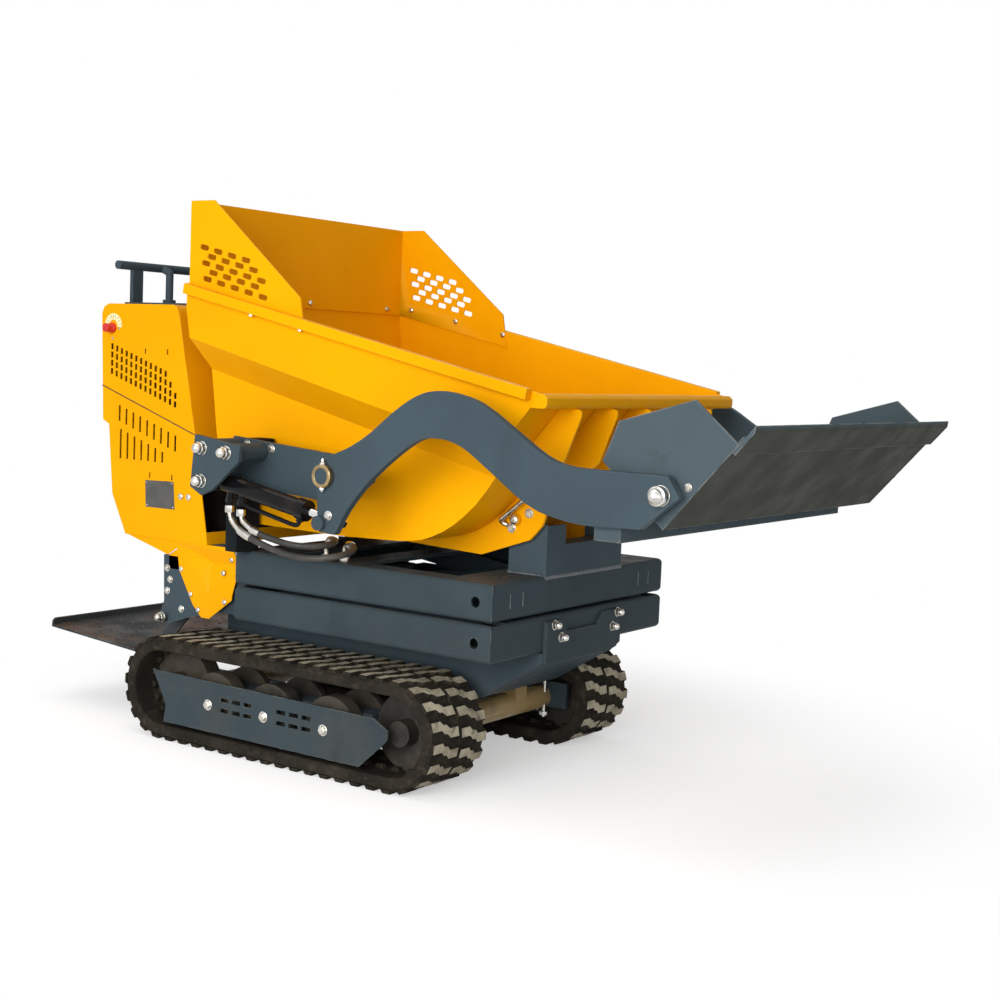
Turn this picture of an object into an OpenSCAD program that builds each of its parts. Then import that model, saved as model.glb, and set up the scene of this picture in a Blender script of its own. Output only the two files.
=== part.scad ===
// Tracked site dumper with a scissor lift, a front-tipping skip and a
// self-loading bucket on two outside arms. Millimetres, +X forward, +Z up.
// Stations along X are measured from the middle of the tracks, then the whole
// machine is shifted so that its footprint is centred on the origin.

/* [Undercarriage] */
// Width of one rubber track
track_w = 200; // [180:5:220]
// Distance between the axle of the drive sprocket and the front idler
wheelbase = 720; // [680:10:760]
// Height of a track loop over its lugs
track_h = 256; // [246:2:266]
// Overall width over both tracks
track_span = 830; // [810:5:850]

/* [Frames] */
// Length of the two pressed frames that close on each other
frame_l = 754; // [734:2:758]
// Overall width of the frames
frame_w = 735; // [715:5:745]
// Height of one frame
frame_h = 84; // [78:1:86]
// Thickness of the pressed frame plate
frame_t = 6; // [5:0.5:8]

/* [Skip] */
// Width of the skip over its side walls
skip_w = 816; // [796:4:824]
// Gap between the skip's narrow lower part and the uprights beside it
side_gap = 10; // [6:1:14]
// Thickness of the skip's plate
skip_t = 4; // [3:0.5:6]
// Height of the splash guard over the skip's rim
guard_h = 194; // [150:2:230]

/* [Loader] */
// Thickness of a loader arm
arm_t = 20; // [15:1:22]
// Space between an arm plate and an arm, which holds a cylinder
loader_gap = 90; // [84:1:100]
// Width of an upright that carries an arm plate
tower_w = 78; // [70:1:86]
// Gap between the bucket and an arm
bucket_gap = 13; // [8:1:20]
// Thickness of the bucket's plate
bucket_t = 6; // [5:0.5:8]
// Outside diameter of a loader cylinder's barrel
barrel_d = 42; // [36:1:46]

/* [Power pack] */
// Width of the power pack's housing
hous_w = 700; // [660:5:710]
// Height of the housing's top over the floor
hous_top = 1069; // [1040:1:1080]
// Thickness of the housing's sheet
sheet_t = 3; // [2:0.5:4]

/* [Platform] */
// Length of the step that the driver stands on
step_l = 440; // [400:5:445]
// Width of the step
step_w = 560; // [500:5:570]

/* [Hidden] */

$fn = 48;
eps = 0.02;
fit = 0.05;

yellow = "#f5b301";
slate = "#4d5a63";
black = "#1c1c1c";
steel = "#b9bcbe";
rubber = "#2b2927";

// Track
lug_h = 7;
belt_t = 29;
belt_r = track_h / 2 - lug_h;
axle_z = track_h / 2;
axle_x = wheelbase / 2;
track_y = (track_span - track_w) / 2;
lug_n = 48;
lug_l = 24;
// The lugs round the end wheels stay clear of the ground by this much
end_rise = 2;
loop_l = 2 * wheelbase + 2 * PI * belt_r;
inner_r = belt_r - belt_t;

// Frames
frame_x0 = -160;
frame_x1 = frame_x0 + frame_l;
low_z = 316;
frame_gap = 6;
up_z = low_z + frame_h + frame_gap;
up_top = up_z + frame_h;
half_w = frame_w / 2;
flange = 60;
cross_t = 8;
front_dx = frame_x1 - 594;

// Scissor
scis_x = frame_x0 + 60;
scis_l = frame_l - 110;
scis_dz = up_z - low_z;
scis_z = low_z + frame_h / 2;
scis_run = sqrt(scis_l * scis_l - scis_dz * scis_dz);
scis_rest = asin(scis_dz / scis_l);

// Skip
tip_x = frame_x1 - 73;
tip_z = 613;
rim_z = 1120;
guard_z = rim_z + guard_h;
skip_rear = -306;
lip_x = 722 + front_dx;
lip_z = 902;
slope = atan((rim_z - lip_z - 5.4) / (lip_x - skip_rear));
fold_a = slope + 1.5;
skip_half = skip_w / 2;
tower_seat = 27.5;
tower_in = half_w - tower_seat;
low_half = tower_in - side_gap;

// Loader
arm_x = 264;
arm_z = 704;
plate_t = 12;
tower_y = tower_in + tower_w;
plate_y = tower_y + plate_t;
arm_half = plate_y + loader_gap + arm_t;
pin_x = 1084;
pin_z = 730;
lobe_x = 254;
lobe_z = 602;
base_x = -103;
base_z = 665;
cyl_y = plate_y + loader_gap / 2 + 10;
bucket_lip_x = 1253;
bucket_lip_z = 870;
bucket_half = arm_half - arm_t - bucket_gap;
bucket_w = 2 * bucket_half;

// Power pack and platform
hous_half = hous_w / 2;
deck_z = 486;
step_x1 = -axle_x - 130;
step_x0 = step_x1 - step_l;
step_z = 191;
step_a = 4;
step_pin_x = step_x1 + 63;
step_pin_z = 290;
tail_half = step_w / 2 + 50;

x_off = -(bucket_lip_x + step_x0) / 2;

// Plate of thickness t that starts at y0, from an outline in X and Z
module plate(y0, t) {
    translate([0, y0 + t, 0])
        rotate([90, 0, 0])
            linear_extrude(t)
                children();
}

// The same plate on both sides of the machine
module pair(y_in, t) {
    for (s = [-1, 1])
        plate(s < 0 ? -y_in - t : y_in, t)
            children();
}

// Bar along X from an outline in Y and Z
module along_x(x0, l) {
    translate([x0, 0, 0])
        rotate([90, 0, 90])
            linear_extrude(l)
                children();
}

// Round bar along Y from y0 to y1
module bar_y(x, z, r, y0, y1) {
    translate([x, y1, z])
        rotate([90, 0, 0])
            cylinder(r = r, h = y1 - y0);
}

module bar_pair(x, z, r, y0, y1) {
    bar_y(x, z, r, y0, y1);
    bar_y(x, z, r, -y1, -y0);
}

module box(x0, x1, y0, y1, z0, z1) {
    translate([x0, y0, z0])
        cube([x1 - x0, y1 - y0, z1 - z0]);
}

module box_pair(x0, x1, y0, y1, z0, z1) {
    box(x0, x1, y0, y1, z0, z1);
    box(x0, x1, -y1, -y0, z0, z1);
}

// Corner of an outline that is moved inward by t, for a left-hand turn outline
function unit(a) = a / norm(a);
function side_n(a, b) = let (d = unit(b - a)) [-d[1], d[0]];
function inset_at(p, i, t) =
    let (n = len(p))
    let (n1 = side_n(p[(i + n - 1) % n], p[i]))
    let (n2 = side_n(p[i], p[(i + 1) % n]))
    p[i] + t * (n1 + n2) / (1 + n1 * n2);
function inset(p, t) = [for (i = [0 : len(p) - 1]) inset_at(p, i, t)];

// Place and heading on the track loop at the arc length s
function loop_at(s, r) =
    let (q = PI * r)
    s < wheelbase ? [s - axle_x, axle_z + r, 90]
    : s < wheelbase + q
        ? let (a = 90 - (s - wheelbase) / q * 180)
          [axle_x + r * cos(a), axle_z + r * sin(a), a]
    : s < 2 * wheelbase + q
        ? [axle_x - (s - wheelbase - q), axle_z - r, -90]
    : let (a = -90 - (s - 2 * wheelbase - q) / q * 180)
      [-axle_x + r * cos(a), axle_z + r * sin(a), a];

module stadium(r) {
    for (s = [-1, 1])
        translate([s * axle_x, axle_z])
            circle(r, $fn = 64);
    translate([-axle_x, axle_z - r])
        square([wheelbase, 2 * r]);
}

module track_outline(phase) {
    difference() {
        intersection() {
            union() {
                stadium(belt_r);
                for (i = [0 : lug_n - 1]) {
                    p = loop_at((i + phase) * loop_l / lug_n, belt_r);
                    translate([p[0], p[1]])
                        rotate(p[2])
                            translate([-belt_t / 4, -lug_l / 2])
                                square([lug_h + belt_t / 4, lug_l]);
                }
            }
            union() {
                stadium(track_h / 2 - end_rise);
                translate([-axle_x, 0])
                    square([wheelbase, track_h]);
            }
        }
        stadium(inner_r);
    }
}

// One track: two half-width rows of lugs, half a pitch apart
module track(s) {
    color(rubber) {
        plate(s * track_y - track_w / 2, track_w / 2)
            track_outline(0.25);
        plate(s * track_y, track_w / 2)
            track_outline(0.75);
    }
}

beam_z0 = axle_z - 43;
beam_z1 = axle_z + 22;
beam_w = 60;
hub_l = 110;
fork_t = 14;
road_r = 75;
road_z = axle_z - inner_r + road_r + 0.5;
road_x = [-axle_x + 164, -15, axle_x - 190];
axle_out = 84;

// Bar along Y beside the middle of a track, from o0 to o1 outward
module bar_out(s, x, z, r, o0, o1) {
    y = s * track_y;
    bar_y(x, z, r, s > 0 ? y + o0 : y - o1, s > 0 ? y + o1 : y - o0);
}

// Sprocket, idler and three large road wheels on both sides of the beam
module running_gear(s) {
    color("#33383c") {
        for (e = [-1, 1]) {
            bar_out(s, e * axle_x, axle_z, inner_r - 0.5, -23, 23);
            bar_out(s, e * axle_x, axle_z, 30, -hub_l / 2, hub_l / 2 + 6);
        }
        for (x = road_x) {
            bar_out(s, x, road_z, road_r, 36, 74);
            bar_out(s, x, road_z, 22, beam_w / 2, axle_out);
            bar_out(s, x, road_z, road_r, -53, -35);
            bar_out(s, x, road_z, 22, -36, -beam_w / 2);
        }
    }
}

// Beam between the road wheels, with a fork plate inside to each axle
module track_frame(s) {
    y = s * track_y;
    end = axle_x - inner_r - 8;
    reach = hub_l / 2 + fork_t;
    color(slate) {
        difference() {
            box(-end, end, y - beam_w / 2, y + beam_w / 2, beam_z0, beam_z1);
            box(-end + 8, end - 8, y - beam_w / 2 + 6, y + beam_w / 2 - 6,
                beam_z0 + 6, beam_z1 - 6);
        }
        for (e = [-1, 1]) {
            gap_x = (road_x[1] + road_x[1 + e]) / 2;
            x0 = e < 0 ? -axle_x - 45 : gap_x - 9;
            x1 = e < 0 ? gap_x + 9 : axle_x + 45;
            y0 = s > 0 ? y - reach : y + hub_l / 2;
            box(x0, x1, y0, y0 + fork_t, beam_z0 + 8, beam_z1 + 8);
            y1 = s > 0 ? y - reach : y + beam_w / 2;
            box(gap_x - 9, gap_x + 9, y1, y1 + reach - beam_w / 2,
                beam_z0 + 8, beam_z1 - 8);
        }
    }
}

cover_t = 5;
cover_low = axle_z - 80;
crease_z = axle_z - 36;

module cover_outline() {
    top = axle_z + 43;
    difference() {
        polygon([[-axle_x - 28, top], [-axle_x + 19, crease_z],
            [-axle_x + 19, cover_low], [axle_x - 78, cover_low],
            [axle_x - 3, axle_z - 9], [axle_x - 3, axle_z + 13],
            [axle_x - 42, top - 8]]);
        for (g = [0, 1], i = [0 : 2], j = [0, 1]) {
            pitch = (road_x[g + 1] - road_x[g] - 68) / 3;
            translate([road_x[g] + 40 + i * pitch, road_z + 14 - j * 26])
                square([pitch - 10, 10]);
        }
    }
}

// Flat plate over the road wheels, flared out below its crease
module track_cover(s) {
    y_out = track_y + track_w / 2 - 3;
    y_in = y_out - cover_t;
    y_axle = track_y + axle_out;
    flare = 6;
    color(slate) {
        intersection() {
            plate(s > 0 ? y_in - 5 : -y_out - 10, cover_t + 15)
                cover_outline();
            along_x(-axle_x - 60, wheelbase + 120)
                polygon([[s * y_in, axle_z + 60], [s * y_in, crease_z],
                    [s * (y_in + flare), cover_low], [s * (y_out + flare), cover_low],
                    [s * y_out, crease_z], [s * y_out, axle_z + 60]]);
        }
        for (x = road_x)
            bar_y(x, road_z, 11, s > 0 ? y_axle : -y_out + eps,
                s > 0 ? y_out - eps : -y_axle);
    }
}

belly_half = track_y - track_w / 2 - 50;
belly_x0 = -axle_x - 20;

belly_z = 190;

// Closed pan under the lower frame, with a slanted nose
module belly() {
    side = [[belly_x0, belly_z], [frame_x1 - 164, belly_z], [frame_x1, 293],
        [frame_x1, low_z], [belly_x0, low_z]];
    color(slate)
        difference() {
            plate(-belly_half, 2 * belly_half)
                polygon(side);
            plate(-belly_half + 8, 2 * belly_half - 16)
                polygon(inset(side, 8));
        }
}

// Round tube between the two track frames, hung from the pan
module cross_tube(x) {
    inner = track_y - hub_l / 2 - fork_t;
    color(slate) {
        bar_y(x, axle_z - 11, 30, -inner, inner);
        for (q = [-belly_half + 55, belly_half - 55])
            box(x - 30, x + 30, q - 25, q + 25, axle_z + 2, belly_z);
    }
}

edge_r = 12;

// Rectangle with rounded corners, from its low corner
module rounded(x0, z0, l, h, r) {
    translate([x0 + r, z0])
        square([l - 2 * r, h]);
    translate([x0, z0 + r])
        square([l, h - 2 * r]);
    for (x = [x0 + r, x0 + l - r], z = [z0 + r, z0 + h - r])
        translate([x, z])
            circle(r, $fn = 32);
}

// Rectangular ring of pressed channel, open towards its middle
module frame_ring(z0) {
    difference() {
        intersection() {
            plate(-half_w, frame_w)
                rounded(frame_x0, z0, frame_l, frame_h, edge_r);
            along_x(frame_x0, frame_l)
                rounded(-half_w, z0, frame_w, frame_h, edge_r);
        }
        box(frame_x0 + flange, frame_x1 - flange, -half_w + flange,
            half_w - flange, z0 - 1, z0 + frame_h + 1);
        box(frame_x0 + frame_t, frame_x1 - frame_t, -half_w + frame_t,
            half_w - frame_t, z0 + frame_t, z0 + frame_h - frame_t);
        for (q = [-1, 1])
            bar_y(frame_x1 - 45, z0 + frame_h / 2, 12, q * half_w - 10,
                q * half_w + 10);
        // Clear way for the scissor's arms between the two frames
        slot_z0 = z0 == low_z ? z0 + frame_h / 2 : z0 - 1;
        slot_z1 = z0 == low_z ? z0 + frame_h + 1 : z0 + frame_h / 2;
        box_pair(frame_x0 + frame_t, frame_x1 - frame_t, half_w - flange - 1,
            half_w - frame_t - 4, slot_z0, slot_z1);
        box_pair(frame_x0 + frame_t, frame_x0 + flange + 1, inner_y - 6,
            half_w - flange, slot_z0, slot_z1);
    }
}

module lower_frame() {
    color(slate) {
        frame_ring(low_z);
        for (x = [frame_x0 + 180, frame_x1 - 294])
            box(x, x + 70, -half_w + edge_r, half_w - edge_r, low_z,
                low_z + cross_t);
        scissor_stub(scis_x, scis_z, 1);
    }
}

// Plate over the pan's nose, with two wings on the frame's front
module front_plate() {
    h = belly_half;
    top = low_z + frame_h - 12;
    color(slate)
        along_x(frame_x1, 10)
            polygon([[-h, 293], [h - 46, 289], [h - 3, 305], [h - 3, top],
                [84, top], [55, 360], [-76, 360], [-98, top], [-h, top]]);
}

tail_x0 = step_x1 + 90;

module tail_frame() {
    color(slate) {
        inner = tail_half - 50;
        box_pair(tail_x0, frame_x0, inner, tail_half, low_z + 4, low_z + frame_h);
        box(tail_x0, tail_x0 + 50, -inner, inner, low_z + 4, low_z + frame_h);
        for (x = [tail_x0 + 60, frame_x0 - 130])
            box_pair(x, x + 50, inner + 5, tail_half - 5, low_z + frame_h, deck_z);
    }
}

// Yellow skirt plates under the housing
module rear_brackets() {
    color(yellow)
        pair(tail_half + 8, 8)
            polygon([[-566, deck_z], [-416, 448], [-384, 468], [-373, 412],
                [-324, 332], [-294, 304], [-268, 304], [-193, 358],
                [-187, 400], [-187, deck_z]]);
}

module step_brackets() {
    x = step_pin_x;
    z = step_pin_z;
    color(slate) {
        difference() {
            pair(tail_half, 8)
                polygon([[x - 11, z + 156], [x - 7, z + 40], [x - 18, z + 12],
                    [x - 18, z - 8], [x - 8, z - 17], [x + 14, z - 17],
                    [x + 76, z + 5], [x + 122, z + 17], [x + 97, z + 156]]);
            for (q = [-tail_half - 4, tail_half + 4])
                bar_y(x, z, 10 + fit, q - 10, q + 10);
        }
        bar_pair(x, z, 10, step_w / 2 - 16, tail_half + 20);
    }
}

// The driver's step, which folds up about its two pins
module step() {
    holes = 9;
    ear = step_w / 2;
    x = step_pin_x;
    z = step_pin_z;
    low = step_z - step_l * tan(step_a);
    lip_h = 24;
    lip_r = 12;
    color(slate) {
        translate([step_x0, 0, step_z])
            rotate([0, step_a, 0]) {
                difference() {
                    box(0, step_l, -ear, ear, 0, 6);
                    for (i = [0 : holes - 1], j = [0 : holes])
                        translate([50 + i * (step_l - 90) / (holes - 1),
                            -ear + 36 + j * (2 * ear - 72) / holes, -1])
                            cylinder(r = 6, h = 8, $fn = 16);
                }
                // Upturned rear lip
                along_x(0, 6) {
                    translate([-ear, 0])
                        square([2 * ear, lip_h - lip_r]);
                    translate([-ear + lip_r, 0])
                        square([2 * ear - 2 * lip_r, lip_h]);
                    for (q = [-ear + lip_r, ear - lip_r])
                        translate([q, lip_h - lip_r])
                            circle(lip_r);
                }
            }
        difference() {
            pair(ear - 8, 8) {
                polygon([[step_x1 - 70, low + 70 * tan(step_a)], [step_x1 - 2, low],
                    [step_x1 - 2, low + 30], [x + 18, z - 8], [x - 18, z + 8],
                    [step_x1 - 20, low + 60]]);
                translate([x, z])
                    circle(20);
            }
            for (q = [-ear, ear])
                bar_y(x, z, 10 + fit, q - 12, q + 12);
        }
    }
}

hous_side = [
    [-568, deck_z], [-275, deck_z], [-287, 550], [-327, 755],
    [-390, hous_top - 26], [-398, hous_top - 9], [-412, hous_top],
    [-645, hous_top], [-663, hous_top - 8], [-671, hous_top - 26],
    [-660, 773], [-637, 762], [-620, 586]
];

// Punched holes and slots in a side of the housing, in rows along its seam
seam = -0.318;

module louvres() {
    cols = [11, 12, 13, 13];
    for (r = [0 : 3], i = [0 : cols[r]])
        translate([-635 + i * 17.8, hous_top - 116 - r * 21 + i * 17.8 * seam])
            square([9, 15]);
    for (i = [0 : 8])
        translate([-602 + i * 25.4, hous_top - 297 + i * 25.4 * seam])
            square([7, 40]);
    for (i = [0 : 6]) {
        h = 75 + i * 25.4 * seam;
        translate([-596 + i * 25.4, hous_top - 392])
            square([7, h]);
    }
    for (x = [-511, -432])
        translate([x, hous_top - 124])
            square([5, 14]);
    for (x = [-486, -407])
        translate([x, hous_top - 434])
            square([5, 14]);
}

module hous_wall(s) {
    color(yellow)
        plate(s > 0 ? hous_half - sheet_t : -hous_half, sheet_t)
            difference() {
                polygon(hous_side);
                louvres();
            }
}

module housing_shell() {
    inside = hous_half - sheet_t;
    color(yellow)
        difference() {
            plate(-inside, 2 * inside)
                polygon(hous_side);
            plate(-inside - 1, 2 * inside + 2)
                polygon(inset(hous_side, sheet_t));
            box(-600, -420, -250, 250, hous_top - 10, hous_top + 1);
            // Open front below the seam
            box(-345, -255, -hous_half, hous_half, deck_z + 30, 742);
        }
}

module console() {
    color(slate) {
        box(-645, -414, -hous_half + 50, hous_half - 50, hous_top, hous_top + 6);
        box(-598, -422, -248, 248, hous_top - 30, hous_top + eps);
    }
}

module engine() {
    color(black)
        box(-560, -365, -220, 220, deck_z + sheet_t, 840);
}

bar_z = hous_top + 99;
bar_x = -637;
bar_r = 11;

// Bar across the console on two flat posts and two round ones
module handlebar() {
    deck = hous_top + 6;
    color(slate) {
        bar_y(bar_x, bar_z, bar_r, -hous_half + 19, hous_half - 19);
        for (q = [-1, 1]) {
            y = q * (hous_half - 83);
            box(bar_x - 6, bar_x + 6, y - 17, y + 17, deck, bar_z);
            translate([bar_x + 27, q * 178, deck]) {
                cylinder(r = 17, h = 12);
                cylinder(r = 10, h = bar_z - deck - 12);
            }
            translate([bar_x, q * 178, bar_z])
                rotate([0, 113, 0])
                    cylinder(r = 10, h = 30);
            translate([bar_x + 27, q * 178, bar_z - 12])
                sphere(r = 10, $fn = 24);
        }
    }
}

module throttle_knob() {
    color("#c3161c") {
        bar_y(-629, hous_top - 62, 11, -hous_half - 26, -hous_half);
        bar_y(-629, hous_top - 62, 13, -hous_half - 8, -hous_half);
    }
}

module control_levers() {
    color(black)
        for (i = [-2 : 2])
            translate([-500, i * 55, hous_top + 6]) {
                cylinder(r = 6, h = 70);
                translate([0, 0, 60])
                    cylinder(r = 14, h = 34);
            }
}

pin_r = 14;
bar_t = 14;
bar_h = frame_h - 28;
inner_y = half_w - flange - 45.5;
outer_y = inner_y + bar_t + 6;

// Bosses on the frame that carry the fixed ends of the scissor's arms
module scissor_stub(x, z, which) {
    y0 = which == 1 ? inner_y - 2 : outer_y - 2;
    bar_pair(x, z, pin_r, y0, half_w - frame_t + eps);
}

// One flat arm of the scissor, from its fixed end, inclined by a
module scissor_bar(x, z, a, y0) {
    difference() {
        translate([x, 0, z])
            rotate([0, -a, 0])
                pair(y0, bar_t) {
                    translate([0, -bar_h / 2])
                        square([scis_l, bar_h]);
                    circle(bar_h / 2);
                    translate([scis_l, 0])
                        circle(bar_h / 2);
                }
        for (q = [-1, 1])
            bar_y(x, z, pin_r + fit, q * y0 - 30, q * y0 + 30);
    }
}

scis_mid_x = scis_x + scis_run / 2;
scis_mid_z = scis_z + scis_dz / 2;

module scissor_inner() {
    color(slate) {
        scissor_bar(scis_x, scis_z, scis_rest, inner_y);
        bar_y(scis_mid_x, scis_mid_z, 20, -inner_y, inner_y);
        bar_pair(scis_mid_x, scis_mid_z, pin_r, inner_y + bar_t - eps,
            outer_y + bar_t + 4);
    }
}

module scissor_outer() {
    color(slate)
        difference() {
            scissor_bar(scis_x, scis_z + scis_dz, -scis_rest, outer_y);
            for (q = [-1, 1])
                bar_y(scis_mid_x, scis_mid_z, pin_r + fit,
                    q * outer_y - 30, q * outer_y + 30);
        }
}

module upper_frame() {
    color(slate) {
        frame_ring(up_z);
        for (x = [frame_x0 + 80, frame_x0 + 280, frame_x1 - 134])
            box(x, x + 70, -half_w + edge_r, half_w - edge_r,
                up_top - cross_t, up_top);
        scissor_stub(scis_x, scis_z + scis_dz, 2);
    }
}

post_half = 165;
post_t = 8;
tip_r = 12.5;

// Box post at the front of the upper frame that carries the skip's hinge
module skip_post() {
    front = frame_x1;
    ledge = 558;
    color(slate) {
        difference() {
            pair(post_half - post_t, post_t) {
                polygon([[tip_x - 29, up_top], [front, up_top], [front, 604],
                    [tip_x + 18, tip_z + 22], [tip_x - 18, tip_z + 22],
                    [tip_x - 29, tip_z]]);
                translate([tip_x, tip_z])
                    circle(29);
            }
            for (q = [-post_half, post_half])
                bar_y(tip_x, tip_z, tip_r + fit, q - 12, q + 12);
        }
        difference() {
            box(front - post_t, front, -post_half + post_t, post_half - post_t,
                up_top, 604);
            box(front - 20, front + 1, -86, post_half - post_t, ledge, 610);
        }
        box(front - 60, front - post_t, -post_half + post_t,
            post_half - post_t, ledge - 8, ledge);
        translate([front - 26, 98, ledge]) {
            cylinder(r = 7, h = 18);
            translate([0, 0, 10])
                cylinder(r = 11, h = 12);
        }
    }
}

// Uprights on the upper frame's sides behind the loader arms
module arm_towers() {
    color(slate)
        difference() {
            pair(tower_in, tower_w)
                polygon([[-148, up_top], [-112, up_top], [-112, 640], [-70, 664],
                    [-70, 760], [-118, 760], [-148, 700]]);
            pair(tower_in + 6, tower_w - 12)
                polygon([[-142, up_top - 1], [-118, up_top - 1], [-118, 644],
                    [-76, 668], [-76, 754], [-115, 754], [-142, 698]]);
        }
}

pivot_r = 15;

module arm_plates() {
    outline = [[-118, 657], [149, 637], [270, 664], [304, 690], [296, 735],
        [-118, 765]];
    color(slate) {
        difference() {
            pair(tower_y, plate_t)
                polygon(outline);
            for (q = [-1, 1])
                bar_y(arm_x, arm_z, pivot_r + fit, q * plate_y - 30,
                    q * plate_y + 30);
        }
        bar_pair(arm_x, arm_z, pivot_r, tower_y, arm_half + 14);
        difference() {
            bar_pair(arm_x, arm_z, 34, plate_y - eps, arm_half - arm_t - 3);
            bar_pair(arm_x, arm_z, pivot_r - 1, plate_y - 1, arm_half - arm_t);
        }
        difference() {
            bar_pair(arm_x, arm_z, 25, arm_half + 2, arm_half + 14);
            bar_pair(arm_x, arm_z, pivot_r - 1, arm_half, arm_half + 15);
        }
    }
}

bracket_y = arm_half - 8;

module cylinder_brackets() {
    color(slate) {
        pair(bracket_y, 12)
            polygon([[-128, 770], [-140, 650], [-105, 632], [-72, 646],
                [10, 716], [14, 752]]);
        for (p = [[-103, 740], [-27, 734]])
            bar_pair(p[0], p[1], 21, plate_y, bracket_y + eps);
        bar_pair(base_x, base_z, 12, plate_y, bracket_y + eps);
    }
}

// Underside of the skip's tub from its flat floor up to the front slope
tub_under = [for (p = [[130, 548], [221, 551], [300, 553], [340, 557],
    [369, 562], [397, 572], [429, 587], [456, 604], [483, 625], [513, 653],
    [539, 684], [560, 712]]) p + [front_dx, 0]];

// Side view of the tub
tub_side = concat(
    [[skip_rear, rim_z], [skip_rear, rim_z - 60], [skip_rear + 12, rim_z - 125],
        [skip_rear + 12, rim_z - 204], [-271, 552 + 0.55 * (rim_z - 756)],
        [-196, 552]],
    tub_under, [[lip_x, lip_z]]);

// Heights of the side folds over the tilted line that they follow
fold_hi = -127 * cos(fold_a);
fold_lo = -201 * cos(fold_a);

function tub_width(hi, lo, top) = [
    [-hi, top], [-hi, fold_hi], [-lo, fold_lo], [-lo, -900],
    [lo, -900], [lo, fold_lo], [hi, fold_hi], [hi, top]
];

module tub(side, hi, lo, top) {
    intersection() {
        plate(-skip_half - 10, skip_w + 20)
            polygon(side);
        translate([skip_rear, 0, rim_z])
            rotate([0, fold_a, 0])
                along_x(-300, 1800)
                    polygon(tub_width(hi, lo, top));
    }
}

module skip() {
    inner = inset(tub_side, skip_t);
    open = concat([inner[0] + [0, 200]], inner,
        [inner[len(inner) - 1] + [250, 200]]);
    color(yellow)
        difference() {
            tub(tub_side, skip_half, low_half, 60);
            tub(open, skip_half - skip_t, low_half - skip_t, 400);
        }
}

rim_l = (lip_x - skip_rear) / cos(slope);
rib_n = 5;
rib_foot = tub_under[len(tub_under) - 1];
front_lean = (lip_x - rib_foot[0]) / (lip_z - rib_foot[1]);
lip_h = 30;
lip_back = [lip_x - lip_h * front_lean + fit, lip_z - lip_h];

// Rim bars on both sides and the rear, and a folded lip at the front
module skip_rim() {
    color(yellow) {
        translate([skip_rear, 0, rim_z])
            rotate([0, slope, 0])
                box_pair(12, rim_l - 22, skip_half, skip_half + 22, -24, 0);
        plate(-skip_half - 8, skip_w + 16)
            polygon([[lip_x + fit, lip_z], lip_back, [lip_x + 14, lip_z - lip_h],
                [lip_x + 20, lip_z - 24], [lip_x + 20, lip_z - 8],
                [lip_x + 12, lip_z]]);
        box(skip_rear - 14, skip_rear, -skip_half + 4, skip_half - 4,
            rim_z - 26, rim_z);
    }
}

module skip_ribs() {
    color(yellow)
        for (i = [0 : rib_n - 1])
            plate((i - (rib_n - 1) / 2) * skip_w / (rib_n + 0.6) - 4, 8)
                polygon([lip_back, rib_foot + [fit, 0], [lip_x - 42, lip_z - 174],
                    [lip_x - 13, lip_z - 151], [lip_x + 29, lip_z - 44],
                    [lip_x + 27, lip_z - 34], [lip_x + 18, lip_z - lip_h]]);
}

// Hinge plates under the tub, whose upper edges follow its underside
module skip_hinges() {
    low = [[tip_x - 325, 533], [tip_x - 93, 524], [tip_x + 38, 570],
        [tip_x + 68, 604], [tip_x + 76, 627], [tip_x + 60, 690]];
    color(yellow) {
        difference() {
            pair(post_half + 6, 10)
                polygon(concat(low, [for (i = [len(tub_under) - 1 : -1 : 1])
                    tub_under[i]]));
            for (q = [-1, 1])
                bar_y(tip_x, tip_z, tip_r + fit, q * post_half - 30,
                    q * post_half + 30);
        }
        bar_pair(tip_x, tip_z, tip_r, post_half - 14, post_half + 24);
    }
}

// Five staggered rows of slots along the rim's slope
module guard_slots() {
    cols = [3, 3, 4, 3, 4];
    for (r = [0 : 4], i = [0 : cols[r]])
        translate([-270 + i * 45 + r * 3 + (r % 2) * 22,
            guard_z - 114 - i * 10 - r * 18.7 - (r % 2) * 4])
            rotate(-slope)
                square([29, 13]);
}

module splash_guard() {
    y_in = skip_half - skip_t - 4;
    color(yellow) {
        pair(y_in, 4)
            difference() {
                polygon([[skip_rear + skip_t, guard_z],
                    [skip_rear + skip_t, rim_z - 40], [70, rim_z - 118],
                    [54, rim_z - 32], [-226, guard_z]]);
                guard_slots();
            }
        box(skip_rear + skip_t, skip_rear + skip_t + 4, -y_in, y_in,
            rim_z - 40, guard_z);
    }
}

// Side view of a loader arm, as arcs and straight edges
arm_side = [
    [250, 582], [294, 580], [330, 640], [400, 716], [500, 790], [560, 803],
    [620, 790], [690, 748], [770, 696], [830, 672], [920, 659], [1043, 663],
    [1122, 729], [1095, 768], [874, 768], [820, 786], [740, 836],
    [690, 868], [640, 890], [568, 900], [510, 892], [450, 858], [380, 800],
    [330, 771], [285, 751], [254, 736], [242, 708], [242, 660], [244, 620]
];

module loader_arms() {
    color(slate)
        difference() {
            pair(arm_half - arm_t, arm_t)
                polygon(arm_side);
            for (q = [-1, 1])
                bar_y(arm_x, arm_z, pivot_r + fit, q * arm_half - 30,
                    q * arm_half + 30);
            for (q = [-1, 1])
                bar_y(pin_x, pin_z, 12 + fit, q * arm_half - 30,
                    q * arm_half + 30);
        }
}

// Pins that the arms carry: one end of each stands out of the arm
module arm_pins() {
    color(steel) {
        bar_pair(lobe_x, lobe_z, 16, arm_half, arm_half + 12);
        bar_pair(pin_x, pin_z, 12, bucket_half - 14, arm_half + eps);
        bar_pair(pin_x, pin_z, 19, arm_half, arm_half + 20);
    }
}

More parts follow.
